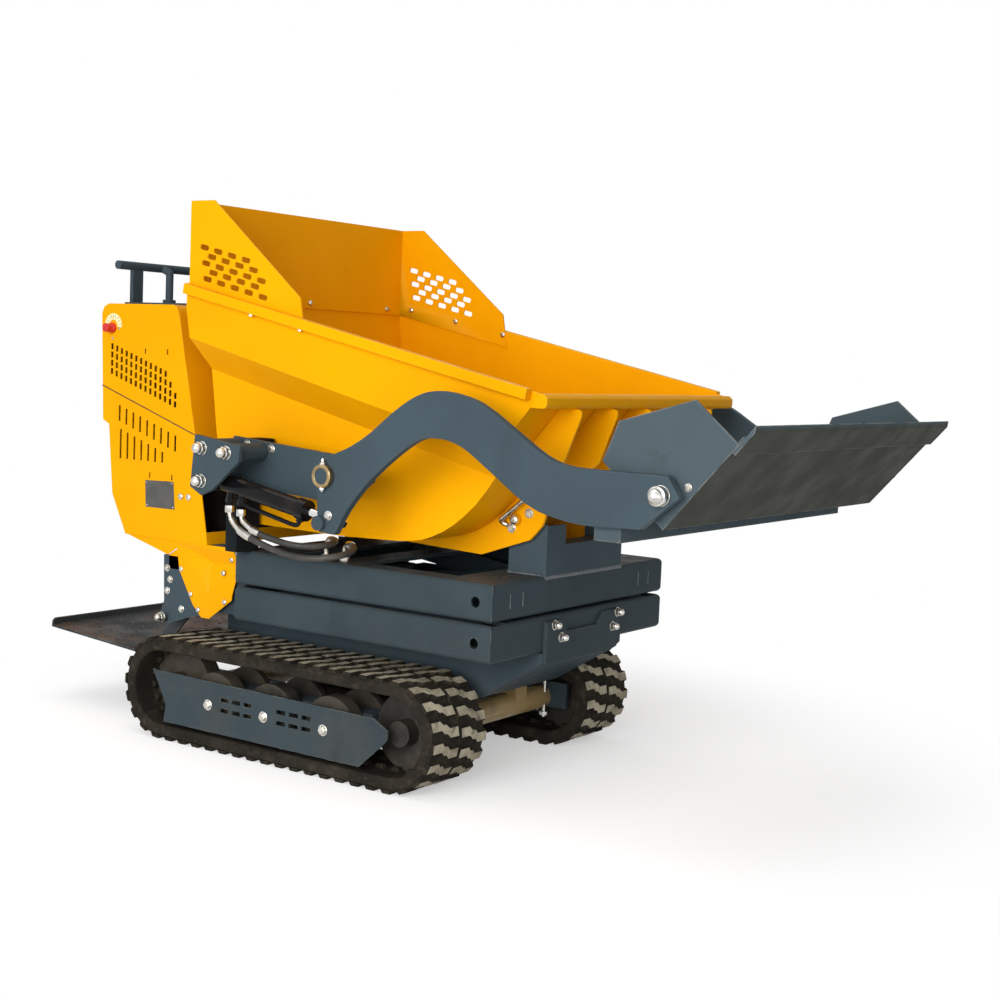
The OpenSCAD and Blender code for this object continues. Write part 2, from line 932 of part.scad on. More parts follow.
module arm_beam() {
    color(slate)
        difference() {
            box(930, 990, -arm_half + arm_t, arm_half - arm_t, 630, 670);
            box(936, 984, -arm_half + arm_t + 6, arm_half - arm_t - 6, 636, 664);
        }
}

// The bucket's floor rises from its rear corner to the lip
floor_0 = [1073, 663];
floor_d = unit([bucket_lip_x, bucket_lip_z] - floor_0);
floor_n = [floor_d[1], -floor_d[0]];
floor_l = norm([bucket_lip_x, bucket_lip_z] - floor_0);
back_top = [935, 783];
function on_floor(s, out = 0) = floor_0 + s * floor_d + out * floor_n;

// Closed outline of a bent plate along open points, thickened to its left
function bent(p, t) =
    let (n = len(p) - 1)
    concat(p, [for (i = [n : -1 : 0])
        i == 0 ? p[0] + t * side_n(p[0], p[1])
        : i == n ? p[n] + t * side_n(p[n - 1], p[n])
        : inset_at(p, i, t)]);

module bucket() {
    side = [back_top, floor_0, on_floor(225), [1128, 910], [967, 862]];
    color(slate) {
        difference() {
            pair(bucket_half - bucket_t, bucket_t)
                polygon(side);
            for (q = [-1, 1])
                bar_y(pin_x, pin_z, 12 + fit, q * bucket_half - 20,
                    q * bucket_half + 20);
        }
        plate(-bucket_half + bucket_t - eps, bucket_w - 2 * bucket_t + 2 * eps)
            polygon(bent([back_top, floor_0, on_floor(240)], bucket_t));
    }
}

// Cutting edge: a bevelled plate under the front of the floor
module bucket_edge() {
    color(slate)
        plate(-bucket_half, bucket_w)
            polygon([on_floor(205), on_floor(205, 8),
                on_floor(floor_l - 12, 8), on_floor(floor_l)]);
}

cyl_run = [lobe_x - base_x, lobe_z - base_z];
cyl_l = norm(cyl_run);
cyl_a = atan2(cyl_run[1], cyl_run[0]);
barrel_l = cyl_l - 86;
rod_r = 10;
eye_w = 34;
eye_r = 16;

// Things along a loader cylinder: local X runs from its base pin to its rod's eye
module on_cylinder() {
    for (q = [-1, 1])
        translate([base_x, q * cyl_y, base_z])
            rotate([0, -cyl_a, 0])
                children();
}

module loader_barrels() {
    color(black)
        on_cylinder()
            difference() {
                union() {
                    translate([20, 0, 0])
                        rotate([0, 90, 0])
                            cylinder(d = barrel_d, h = barrel_l - 20);
                    translate([barrel_l - 26, 0, 0])
                        rotate([0, 90, 0])
                            cylinder(d = barrel_d + 6, h = 26);
                    bar_y(0, 0, 24, -eye_w / 2, eye_w / 2);
                    // Hose ports
                    translate([41, 0, -44])
                        cylinder(r = 9, h = 27);
                    translate([77, 0, -41])
                        cylinder(r = 9, h = 24);
                }
                translate([48, 0, 0])
                    rotate([0, 90, 0])
                        cylinder(r = barrel_d / 2 - 5, h = barrel_l - 60);
                translate([26, 0, 0])
                    rotate([0, 90, 0])
                        cylinder(r = rod_r + fit, h = barrel_l);
                bar_y(0, 0, 12 + fit, -eye_w, eye_w);
            }
}

module loader_rods() {
    color(steel)
        on_cylinder() {
            translate([100, 0, 0])
                rotate([0, 90, 0])
                    cylinder(r = rod_r, h = cyl_l - 110);
            bar_y(cyl_l, 0, eye_r, -eye_w / 2, eye_w / 2);
        }
}

hose_r = 7.5;
hose_sides = 10;

// A hose swept along a smooth route through the points of a list
function spline(p, i, u) =
    let (n = len(p))
    let (a = p[max(i - 1, 0)], b = p[i], c = p[i + 1], d = p[min(i + 2, n - 1)])
    0.5 * (2 * b + (c - a) * u + (2 * a - 5 * b + 4 * c - d) * u * u
        + (3 * b - a - 3 * c + d) * u * u * u);
function route(p, k) = concat(
    [for (i = [0 : len(p) - 2], j = [0 : k - 1]) spline(p, i, j / k)],
    [p[len(p) - 1]]);
function heading(r, i) = unit(r[min(i + 1, len(r) - 1)] - r[max(i - 1, 0)]);

module hose(points) {
    r = route(points, 4);
    n = len(r);
    verts = [for (i = [0 : n - 1])
        let (t = heading(r, i))
        let (u = unit(cross(t, [0.3, 0.9, 0.31])))
        let (v = cross(t, u))
        for (j = [0 : hose_sides - 1])
            let (a = 360 * j / hose_sides)
            r[i] + hose_r * (cos(a) * u + sin(a) * v)];
    tris = [for (i = [0 : n - 2], j = [0 : hose_sides - 1])
        let (a = i * hose_sides + j)
        let (b = i * hose_sides + (j + 1) % hose_sides)
        each [[a, b, b + hose_sides], [a, b + hose_sides, a + hose_sides]]];
    color(black)
        polyhedron(points = verts, faces = concat(
            [[for (j = [hose_sides - 1 : -1 : 0]) j]], tris,
            [[for (j = [0 : hose_sides - 1]) (n - 1) * hose_sides + j]]));
}

// Two hoses hang under each loader cylinder and turn in under the skip
hose_a = [[-70, -485, 606], [-64, -485, 580], [-20, -488, 548], [80, -488, 520],
    [160, -484, 511], [212, -462, 516], [232, -418, 524], [212, -374, 532],
    [174, -352, 532], [160, -344, 516], [160, -344, 503], [160, -344, up_top]];
hose_b = [[-34, -485, 600], [-28, -485, 578], [10, -484, 556], [70, -480, 542],
    [118, -472, 535], [158, -446, 534], [172, -408, 538], [152, -370, 542],
    [116, -351, 536], [104, -344, 518], [104, -344, 504], [104, -344, up_top]];
function other_side(p) = [for (q = p) [q[0], -q[1], q[2]]];

module placed() {
    translate([x_off, 0, 0])
        children();
}

placed() track(-1);  // track_right
placed() track(1);  // track_left
placed() running_gear(-1);  // running_gear_right
placed() running_gear(1);  // running_gear_left
placed() track_frame(-1);  // track_frame_right
placed() track_frame(1);  // track_frame_left
placed() track_cover(-1);  // track_cover_right
placed() track_cover(1);  // track_cover_left
placed() belly();
placed() cross_tube(axle_x - 30);  // cross_tube_front
placed() cross_tube(-axle_x + 30);  // cross_tube_rear
placed() lower_frame();
placed() front_plate();
placed() tail_frame();
placed() rear_brackets();
placed() step_brackets();
placed() step();
placed() hous_wall(-1);  // housing_right
placed() hous_wall(1);  // housing_left
placed() housing_shell();
placed() console();
placed() engine();
placed() handlebar();
placed() throttle_knob();
placed() control_levers();
placed() scissor_inner();
placed() scissor_outer();
placed() upper_frame();
placed() skip_post();
placed() arm_towers();
placed() arm_plates();
placed() cylinder_brackets();
placed() skip();
placed() skip_rim();
placed() skip_ribs();
placed() skip_hinges();
placed() splash_guard();
placed() loader_arms();
placed() arm_pins();
placed() arm_beam();
placed() bucket();
placed() bucket_edge();
placed() loader_barrels();
placed() loader_rods();
placed() hose(hose_a);  // hose_right_a
placed() hose(hose_b);  // hose_right_b
placed() hose(other_side(hose_a));  // hose_left_a
placed() hose(other_side(hose_b));  // hose_left_b
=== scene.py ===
"""Looks of the tracked site dumper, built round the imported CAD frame. Metres, +X forward, +Z up."""

import math

import bmesh
import bpy
from mathutils import Matrix, Vector


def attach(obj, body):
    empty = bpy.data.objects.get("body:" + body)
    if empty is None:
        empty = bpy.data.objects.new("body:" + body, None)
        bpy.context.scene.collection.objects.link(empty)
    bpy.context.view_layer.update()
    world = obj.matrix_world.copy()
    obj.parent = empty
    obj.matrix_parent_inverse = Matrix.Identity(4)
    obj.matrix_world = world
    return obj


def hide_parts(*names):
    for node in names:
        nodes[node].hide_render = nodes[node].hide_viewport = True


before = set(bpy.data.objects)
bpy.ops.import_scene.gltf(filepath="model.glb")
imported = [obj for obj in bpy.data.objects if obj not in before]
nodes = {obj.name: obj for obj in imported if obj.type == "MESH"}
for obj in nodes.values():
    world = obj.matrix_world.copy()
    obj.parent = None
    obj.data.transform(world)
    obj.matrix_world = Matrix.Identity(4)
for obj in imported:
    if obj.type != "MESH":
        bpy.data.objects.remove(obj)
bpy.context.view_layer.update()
scene = bpy.context.scene
scene.view_settings.view_transform = "Standard"

# Stations in the CAD source are millimetres from the middle of the tracks
SHIFT = -161.5
# The machine's right side and its mirror
SIDES = (-1, 1)
UP = Vector((0, 0, 1))


def at(x, y, z):
    """Point in metres from a station in millimetres."""
    return Vector(((x + SHIFT) / 1000, y / 1000, z / 1000))


# Camera, at the photograph's angle

AZIMUTH, ELEVATION, ROLL = (math.radians(angle) for angle in (34.754, 5.086, 2.407))
CAMERA_AT = Vector((2.3449, -3.1112, 0.9702))
LENS_MM, SENSOR_MM = 57.12, 36


def make_camera():
    flat = math.cos(ELEVATION)
    back = Vector((math.sin(AZIMUTH) * flat, -math.cos(AZIMUTH) * flat, math.sin(ELEVATION)))
    level = Vector((math.cos(AZIMUTH), math.sin(AZIMUTH), 0))
    upright = back.cross(level)
    right = math.cos(ROLL) * level + math.sin(ROLL) * upright
    up = -math.sin(ROLL) * level + math.cos(ROLL) * upright
    data = bpy.data.cameras.new("camera")
    data.sensor_width = SENSOR_MM
    data.lens = LENS_MM
    data.clip_start, data.clip_end = 0.05, 200
    camera = bpy.data.objects.new("camera", data)
    scene.collection.objects.link(camera)
    place = Matrix((right, up, back)).transposed().to_4x4()
    place.translation = CAMERA_AT
    camera.matrix_world = place
    scene.camera = camera


make_camera()


# Materials by name

MAT = {}


class Shader:
    """A node material with a few helpers. Colours are linear."""

    def __init__(self, name, rough=0.5, metal=0.0, **sockets):
        self.name = name
        self.mat = bpy.data.materials.new(name)
        self.mat.use_nodes = True
        self.tree = self.mat.node_tree
        self.bsdf = self.tree.nodes["Principled BSDF"]
        self.bsdf.inputs["Roughness"].default_value = rough
        self.bsdf.inputs["Metallic"].default_value = metal
        for key, value in sockets.items():
            self.bsdf.inputs[key.replace("_", " ")].default_value = value

    def new(self, kind, **props):
        node = self.tree.nodes.new("ShaderNode" + kind)
        for key, value in props.items():
            setattr(node, key, value)
        return node

    def put(self, socket, value):
        if hasattr(value, "is_output"):
            self.tree.links.new(value, socket)
        else:
            socket.default_value = value

    def place(self, scale, turn):
        mapping = self.new("Mapping")
        mapping.inputs["Scale"].default_value = scale
        mapping.inputs["Rotation"].default_value = turn
        self.put(mapping.inputs["Vector"], self.new("TexCoord").outputs["Object"])
        return mapping.outputs["Vector"]

    def noise(self, scale, detail=4.0, rough=0.55, stretch=(1, 1, 1), turn=(0, 0, 0)):
        node = self.new("TexNoise")
        node.inputs["Scale"].default_value = scale
        node.inputs["Detail"].default_value = detail
        node.inputs["Roughness"].default_value = rough
        self.put(node.inputs["Vector"], self.place(stretch, turn))
        return node.outputs["Fac"]

    def ramp(self, value, low, high, to_low=0.0, to_high=1.0):
        node = self.new("MapRange", clamp=True, interpolation_type="SMOOTHSTEP")
        self.put(node.inputs["Value"], value)
        node.inputs["From Min"].default_value = low
        node.inputs["From Max"].default_value = high
        node.inputs["To Min"].default_value = to_low
        node.inputs["To Max"].default_value = to_high
        return node.outputs["Result"]

    def math(self, operation, a, b):
        node = self.new("Math", operation=operation)
        self.put(node.inputs[0], a)
        self.put(node.inputs[1], b)
        return node.outputs[0]

    def mix(self, share, a, b):
        node = self.new("Mix", data_type="RGBA")
        self.put(node.inputs[0], share)
        self.put(node.inputs[6], a if hasattr(a, "is_output") else (*a, 1))
        self.put(node.inputs[7], b if hasattr(b, "is_output") else (*b, 1))
        return node.outputs[2]

    def edges(self, radius):
        """1 along the edges of the shape, 0 on its flats."""
        bevel = self.new("Bevel", samples=4)
        bevel.inputs["Radius"].default_value = radius
        dot = self.new("VectorMath", operation="DOT_PRODUCT")
        self.put(dot.inputs[0], bevel.outputs["Normal"])
        self.put(dot.inputs[1], self.new("NewGeometry").outputs["Normal"])
        return self.ramp(dot.outputs["Value"], 0.995, 0.93)

    def facing(self):
        """Height of the surface's normal: 1 faces up, -1 faces down."""
        node = self.new("SeparateXYZ")
        self.put(node.inputs[0], self.new("NewGeometry").outputs["Normal"])
        return node.outputs["Z"]

    def upward(self):
        return self.ramp(self.facing(), 0.55, 0.95)

    def height(self):
        node = self.new("SeparateXYZ")
        self.put(node.inputs[0], self.new("TexCoord").outputs["Object"])
        return node.outputs["Z"]

    def rubbed(self, radius, grain, low, high, share):
        """Broken line of wear along the edges."""
        line = self.math("MULTIPLY", self.edges(radius), self.ramp(self.noise(grain, 4, 0.7), low, high))
        return self.math("MULTIPLY", line, share)

    def finish(self, colour, rough=None, bumps=()):
        self.put(self.bsdf.inputs["Base Color"], colour)
        if rough is not None:
            self.put(self.bsdf.inputs["Roughness"], rough)
        normal = None
        for relief, strength, distance in bumps:
            bump = self.new("Bump")
            bump.inputs["Strength"].default_value = strength
            bump.inputs["Distance"].default_value = distance
            self.put(bump.inputs["Height"], relief)
            if normal is not None:
                self.put(bump.inputs["Normal"], normal)
            normal = bump.outputs["Normal"]
        if normal is not None:
            self.put(self.bsdf.inputs["Normal"], normal)
        MAT[self.name] = self.mat


def paint(name, base, deep, worn, rough, wear, dust, dusty, low, scuff, gloss=0.025):
    """Sprayed paint: slow colour drift, orange peel, rubbed edges, scuffs and dust that settles low."""
    s = Shader(name, rough, Specular_IOR_Level=gloss)
    tone = s.mix(s.ramp(s.noise(2.6, 3), 0.35, 0.68), base, deep)
    tone = s.mix(s.ramp(s.noise(38, 5, 0.7), 0.45, 0.8, 0, 0.22), tone, deep)
    streak = s.ramp(s.noise(9, 6, 0.62, (1, 1, 0.22)), 0.56, 0.74, 0, scuff)
    tone = s.mix(streak, tone, tuple(0.72 * c for c in deep))
    settle = s.ramp(s.height(), low, low - 0.4)
    settle = s.math("MULTIPLY", settle, s.ramp(s.noise(7, 6, 0.7), 0.4, 0.72))
    flat = s.math("MULTIPLY", s.upward(), s.ramp(s.noise(11, 5, 0.65), 0.38, 0.66))
    film = s.math("MULTIPLY", s.math("MAXIMUM", settle, flat), dusty)
    tone = s.mix(film, tone, dust)
    tone = s.mix(s.rubbed(0.0022, 23, 0.44, 0.6, wear), tone, worn)
    shine = s.ramp(s.noise(16, 5, 0.65), 0.3, 0.75, rough - 0.07, rough + 0.1)
    shine = s.math("ADD", shine, s.math("MULTIPLY", film, 0.5))
    s.finish(tone, shine, [(s.noise(520, 2), 0.035, 0.001), (s.noise(3.4, 2), 0.05, 0.01)])


def scuffed_plate():
    """Bucket: the same paint, rubbed dull and smeared with dry soil, browner underneath and darker there as
    painted shade.
    """
    s = Shader("scuffed_plate", Specular_IOR_Level=0.015)
    tone = s.mix(s.ramp(s.noise(3.2, 4), 0.35, 0.66), (0.070, 0.096, 0.110), (0.061, 0.083, 0.094))
    # Faces that look down: darker as painted shade, browner with dry soil
    under = s.ramp(s.facing(), -0.2, -0.6)
    tone = s.mix(s.math("MULTIPLY", under, 0.9), tone, (0.060, 0.061, 0.049))
    smear = s.ramp(s.noise(5.5, 7, 0.68, (1, 0.35, 1), (0, 0.6, 0.4)), 0.6, 0.72, 0, 0.4)
    tone = s.mix(smear, tone, (0.030, 0.031, 0.029))
    pale = s.ramp(s.noise(14, 6, 0.7, (1, 0.2, 1)), 0.66, 0.78, 0, 0.12)
    tone = s.mix(pale, tone, (0.12, 0.118, 0.105))
    tone = s.mix(s.rubbed(0.003, 19, 0.36, 0.55, 0.8), tone, (0.30, 0.29, 0.27))
    shine = s.ramp(s.noise(12, 5), 0.3, 0.7, 0.42, 0.66)
    s.finish(tone, shine, [(s.noise(420, 2), 0.05, 0.001), (s.noise(5, 4), 0.12, 0.01)])


def step_plate():
    """Driver's step: dark plate, bare and rusty where boots scrape it."""
    s = Shader("step_plate", Specular_IOR_Level=0.08)
    tone = s.mix(s.ramp(s.noise(6, 5), 0.35, 0.7), (0.050, 0.056, 0.06), (0.034, 0.036, 0.037))
    walk = s.math("MULTIPLY", s.ramp(s.noise(4.2, 6, 0.7), 0.44, 0.64), s.upward())
    tone = s.mix(s.math("MULTIPLY", walk, 0.8), tone, (0.12, 0.065, 0.035))
    tone = s.mix(s.rubbed(0.003, 24, 0.38, 0.6, 0.7), tone, (0.28, 0.27, 0.25))
    s.finish(tone, s.ramp(s.noise(15, 5), 0.3, 0.7, 0.45, 0.75), [(s.noise(260, 3), 0.1, 0.001)])


def greasy_steel():
    """Cross tubes: steel under a film of old grease and brown dust, lightened in part as painted sheen."""
    s = Shader("greasy_steel")
    tone = s.mix(s.ramp(s.noise(7, 6, 0.65), 0.35, 0.65), (0.36, 0.25, 0.105), (0.15, 0.115, 0.062))
    # Pale streaks drawn out along the tube: painted sheen
    tone = s.mix(s.ramp(s.noise(15, 7, 0.7, (1, 0.25, 1)), 0.55, 0.68), tone, (0.58, 0.43, 0.2))
    s.finish(tone, s.ramp(s.noise(21, 5), 0.3, 0.7, 0.3, 0.62), [(s.noise(75, 5), 0.25, 0.002)])


def rubber(name, one, other, speck, spread):
    """Track rubber, dull and grainy, with specks of a third colour."""
    s = Shader(name, Specular_IOR_Level=0.04)
    tone = s.mix(s.ramp(s.noise(9, 7, 0.68), 0.36, 0.66), one, other)
    tone = s.mix(s.ramp(s.noise(34, 6, 0.7), 0.5, 0.7, 0, spread), tone, speck)
    shine = s.ramp(s.noise(20, 5), 0.3, 0.7, 0.68, 0.92)
    s.finish(tone, shine, [(s.noise(140, 5, 0.7), 0.35, 0.002), (s.noise(26, 4), 0.3, 0.006)])


def two_tone(name, one, other, grain, band, shine, shine_band, relief=None, metal=0.0, **sockets):
    """Two colours mixed by a noise, with a second noise for the shine and a third for the relief."""
    s = Shader(name, metal=metal, **sockets)
    tone = s.mix(s.ramp(s.noise(*grain), *band), one, other)
    bumps = []
    if relief:
        height, strength, distance = relief
        bumps.append((s.noise(*height), strength, distance))
    s.finish(tone, s.ramp(s.noise(*shine), *shine_band), bumps)


def seam_shade():
    """Shadow in the lap of two sheets."""
    s = Shader("seam_shade", 0.8)
    s.finish(s.mix(s.ramp(s.noise(40, 4), 0.35, 0.7), (0.10, 0.05, 0.006), (0.055, 0.03, 0.006)))


SOIL = (0.15, 0.115, 0.07)
paint("yellow_paint", (0.85, 0.374, 0.0008), (0.79, 0.342, 0.0008), (0.98, 0.55, 0.04), rough=0.38,
      wear=0.5, dust=(0.5, 0.27, 0.06), dusty=0.16, low=0.5, scuff=0.1, gloss=0.045)
paint("slate_paint", (0.055, 0.079, 0.094), (0.046, 0.066, 0.079), (0.21, 0.21, 0.20), rough=0.42,
      wear=0.55, dust=SOIL, dusty=0.12, low=0.5, scuff=0.35)
paint("frame_paint", (0.044, 0.062, 0.072), (0.037, 0.051, 0.059), (0.26, 0.24, 0.19), rough=0.40,
      wear=0.75, dust=SOIL, dusty=0.16, low=0.52, scuff=0.4)
# Slate darkened to near black: painted shade on the arm towers, deep among the brackets
paint("painted_shade_slate", (0.014, 0.018, 0.021), (0.009, 0.011, 0.012), (0.06, 0.055, 0.045), rough=0.6,
      wear=0.4, dust=(0.04, 0.03, 0.02), dusty=0.4, low=0.6, scuff=0.5)
scuffed_plate()
step_plate()
greasy_steel()
seam_shade()
rubber("track_rubber", (0.019, 0.017, 0.014), (0.036, 0.031, 0.023), (0.075, 0.063, 0.044), 0.5)
rubber("lug_top", (0.50, 0.45, 0.335), (0.26, 0.23, 0.165), (0.05, 0.044, 0.033), 0.75)
two_tone("roller_steel", (0.022, 0.021, 0.019), (0.06, 0.05, 0.036), (9, 6, 0.65), (0.35, 0.65),
         (25, 5), (0.3, 0.7, 0.35, 0.7), ((90, 5), 0.25, 0.002), Specular_IOR_Level=0.25)
two_tone("engine_black", (0.012, 0.012, 0.012), (0.028, 0.026, 0.023), (8, 5), (0.3, 0.7),
         (30, 4), (0.3, 0.7, 0.55, 0.85), ((60, 4), 0.2, 0.002), Specular_IOR_Level=0.15)
two_tone("red_plastic", (0.62, 0.012, 0.012), (0.48, 0.01, 0.012), (60, 4), (0.4, 0.7),
         (80, 4), (0.3, 0.7, 0.25, 0.42), ((700, 2), 0.04, 0.0005))
two_tone("black_plastic", (0.018, 0.018, 0.019), (0.035, 0.034, 0.032), (40, 4), (0.4, 0.7),
         (60, 4), (0.3, 0.7, 0.4, 0.6), ((600, 3), 0.12, 0.0005))
# Zinc plate, with a faint yellow passivation
two_tone("zinc_steel", (0.66, 0.65, 0.62), (0.46, 0.43, 0.36), (45, 5), (0.35, 0.7),
         (90, 4), (0.3, 0.7, 0.2, 0.42), ((400, 3), 0.06, 0.0005), metal=1.0)
# Bare machined ring, warm where grease has dried on it
two_tone("worn_ring", (0.46, 0.34, 0.17), (0.22, 0.15, 0.075), (30, 5), (0.35, 0.65),
         (60, 4), (0.3, 0.7, 0.25, 0.5), ((300, 4), 0.1, 0.0005), metal=1.0)
two_tone("cylinder_black", (0.006, 0.006, 0.007), (0.016, 0.014, 0.012), (12, 5), (0.4, 0.7),
         (30, 6, 0.7), (0.35, 0.75, 0.1, 0.34), ((8, 3), 0.05, 0.004), Specular_IOR_Level=0.12)
two_tone("rod_chrome", (0.78, 0.78, 0.77), (0.62, 0.61, 0.58), (30, 4, 0.6, (0.2, 1, 1)), (0.4, 0.7),
         (50, 4, 0.6, (0.2, 1, 1)), (0.3, 0.75, 0.05, 0.17), metal=1.0)
two_tone("hose_rubber", (0.034, 0.033, 0.030), (0.068, 0.062, 0.052), (22, 5), (0.35, 0.7),
         (50, 4), (0.3, 0.7, 0.4, 0.62), ((900, 2), 0.12, 0.0005), Specular_IOR_Level=0.3)
two_tone("plate_grey", (0.050, 0.050, 0.048), (0.075, 0.073, 0.068), (30, 5), (0.35, 0.7),
         (60, 4), (0.3, 0.7, 0.36, 0.55), ((300, 3), 0.05, 0.0005))
two_tone("dial_pale", (0.86, 0.78, 0.45), (0.74, 0.64, 0.32), (60, 5), (0.35, 0.7),
         (60, 4), (0.3, 0.7, 0.4, 0.6))
two_tone("weld", (0.06, 0.08, 0.095), (0.11, 0.125, 0.13), (60, 5), (0.35, 0.7),
         (60, 4), (0.3, 0.7, 0.35, 0.6), ((220, 4), 0.4, 0.001))


# Mesh helpers

class Shape:
    """Collects the faces of one piece, each with the index of its material."""

    def __init__(self):
        self.verts = []
        self.faces = []
        self.mats = []

    def add(self, verts, faces, mat=0):
        start = len(self.verts)
        self.verts += [Vector(v) for v in verts]
        self.faces += [[i + start for i in face] for face in faces]
        self.mats += [mat] * len(faces)

    def lathe(self, origin, axis, profile, n=24, mat=0, spin=0.0):
        """Turned form: profile is (radius, height) from its foot up, along axis from origin."""
        axis = Vector(axis).normalized()
        u = axis.orthogonal().normalized()
        v = axis.cross(u)
        origin = Vector(origin)
        rings = []
        verts = []
        for r, h in profile:
            if r < 1e-7:
                rings.append([len(verts)])
                verts.append(origin + axis * h)
                continue
            rings.append(list(range(len(verts), len(verts) + n)))
            for i in range(n):
                a = spin + 2 * math.pi * i / n
                verts.append(origin + axis * h + r * (math.cos(a) * u + math.sin(a) * v))
        faces = []
        for p, q in zip(rings, rings[1:]):
            for i in range(n):
                j = (i + 1) % n
                if len(p) == 1 and len(q) > 1:
                    faces.append([q[i], q[j], p[0]])
                elif len(q) == 1 and len(p) > 1:
                    faces.append([p[i], p[j], q[0]])
                elif len(p) > 1:
                    faces.append([p[i], p[j], q[j], q[i]])
        self.add(verts, faces, mat)

    def tube(self, path, radius, n=12):
        """Round tube along a path, with one radius or one for each point."""
        rings = []
        verts = []
        side = None
        for i, p in enumerate(path):
            along = (path[min(i + 1, len(path) - 1)] - path[max(i - 1, 0)]).normalized()
            if side is None:
                side = along.orthogonal().normalized()
            else:
                side = (side - along * side.dot(along)).normalized()
            other = along.cross(side)
            r = radius[i] if hasattr(radius, "__len__") else radius
            rings.append(list(range(len(verts), len(verts) + n)))
            for k in range(n):
                a = 2 * math.pi * k / n
                verts.append(p + r * (math.cos(a) * side + math.sin(a) * other))
        faces = []
        for p, q in zip(rings, rings[1:]):
            faces += [[p[k], p[(k + 1) % n], q[(k + 1) % n], q[k]] for k in range(n)]
        self.add(verts, faces + [rings[0][::-1], rings[-1]])

    def slab(self, outline, normal, thick, mat=0):
        """Plate of a given thickness on a flat outline of points."""
        n = len(outline)
        lift = Vector(normal).normalized() * thick
        faces = [list(range(n))[::-1], list(range(n, 2 * n))]
        faces += [[i, (i + 1) % n, n + (i + 1) % n, n + i] for i in range(n)]
        self.add(outline + [p + lift for p in outline], faces, mat)

    def piece(self, name, body, mats, bevel=0.0, angle=35):
        mesh = bpy.data.meshes.new(name)
        mesh.from_pydata([tuple(v) for v in self.verts], [], self.faces)
        bm = bmesh.new()
        bm.from_mesh(mesh)
        for face, index in zip(bm.faces, self.mats):
            face.material_index = index
        bmesh.ops.recalc_face_normals(bm, faces=bm.faces)
        bm.to_mesh(mesh)
        bm.free()
        for mat in mats:
            mesh.materials.append(MAT[mat])
        mesh.polygons.foreach_set("use_smooth", [True] * len(mesh.polygons))
        mesh.set_sharp_from_angle(angle=math.radians(angle))
        obj = bpy.data.objects.new(name, mesh)
        scene.collection.objects.link(obj)
        if bevel:
            soften(obj, bevel)
        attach(obj, body)
        return obj


def soften(obj, width, segments=2, weld=False):
    """Rounds the edges of a hard-edged piece."""
    if weld:
        join = obj.modifiers.new("join", "WELD")
        join.merge_threshold = 1e-5
        flats = obj.modifiers.new("flats", "DECIMATE")
        flats.decimate_type = "DISSOLVE"
        flats.angle_limit = math.radians(1)
    edges = obj.modifiers.new("edges", "BEVEL")
    edges.width = width
    edges.segments = segments
    edges.limit_method = "ANGLE"
    edges.angle_limit = math.radians(38)
    edges.use_clamp_overlap = True
    normals = obj.modifiers.new("normals", "WEIGHTED_NORMAL")
    normals.weight = 80
    normals.keep_sharp = not weld


def smooth(points, k):
    """Smooth route through points, k steps to a span."""
    out = []
    n = len(points)
    for i in range(n - 1):
        a, b, c, d = points[max(i - 1, 0)], points[i], points[i + 1], points[min(i + 2, n - 1)]
        for j in range(k):
            u = j / k
            out.append(0.5 * (2 * b + (c - a) * u + (2 * a - 5 * b + 4 * c - d) * u * u
                              + (3 * b - a - 3 * c + d) * u ** 3))
    return out + [points[-1]]


def capped(*rings):
    """Profile of a solid turned form, closed flat at both ends."""
    return [(0, rings[0][1]), *rings, (0, rings[-1][1])]


def dome_nut(part, place, axis, r, washer=1.2):
    """Washer, hexagon and dome of a cap nut on a face."""
    axis = Vector(axis)
    wide = washer * r
    part.lathe(place, axis, capped((wide, 0), (wide, 0.16 * r), (0.95 * wide, 0.22 * r)), 28)
    place = place + axis * 0.22 * r
    hexagon = capped((1.04 * r, 0), (1.1 * r, 0.08 * r), (1.1 * r, 0.66 * r), (0.96 * r, 0.8 * r))
    part.lathe(place, axis, hexagon, 6)
    place = place + axis * 0.74 * r
    dome = [(0, 0), (0.88 * r, 0), (0.88 * r, 0.28 * r)]
    for a in (0.35, 0.7, 1.0, 1.25):
        dome.append((0.88 * r * math.cos(a), 0.28 * r + 0.86 * r * math.sin(a)))
    part.lathe(place, axis, dome + [(0, 1.14 * r)], 24)


def hex_bolt(part, place, axis, r):
    """Hexagon head with its washer on a face."""
    axis = Vector(axis)
    part.lathe(place, axis, capped((1.4 * r, 0), (1.4 * r, 0.15 * r), (1.32 * r, 0.2 * r)), 28)
    head = [(0, 0), (r, 0), (1.06 * r, 0.06 * r), (1.06 * r, 0.5 * r), (0.88 * r, 0.64 * r), (0, 0.66 * r)]
    part.lathe(place + axis * 0.2 * r, axis, head, 6, spin=0.3)


def button(part, place, axis, r):
    """Low round head with a socket."""
    head = [(0, 0), (r, 0), (r, 0.18 * r), (0.9 * r, 0.42 * r), (0.66 * r, 0.6 * r), (0.42 * r, 0.64 * r)]
    part.lathe(place, axis, head + [(0.36 * r, 0.45 * r), (0, 0.42 * r)], 20)


# Hydraulic hoses: curves along the CAD routes, steel elbows and crimped ferrules on their ends

HOSE_A = [(-70, -485, 606), (-64, -485, 580), (-20, -488, 548), (80, -488, 520), (160, -484, 511),
          (212, -462, 516), (232, -418, 524), (212, -374, 532), (174, -352, 532), (160, -344, 516),
          (160, -344, 503), (160, -344, 490)]
HOSE_B = [(-34, -485, 600), (-28, -485, 578), (10, -484, 556), (70, -480, 542), (118, -472, 535),
          (158, -446, 534), (172, -408, 538), (152, -370, 542), (116, -351, 536), (104, -344, 518),
          (104, -344, 504), (104, -344, 490)]
HOSE_R, PIPE_R, COLLAR_R = 0.0075, 0.0052, 0.0068
FERRULE_R = (0.0088, 0.0095, 0.0095, 0.0095, 0.0088)
HOSE_STEPS, STEPS_BEFORE, STEPS_AFTER = 8, 14, 25


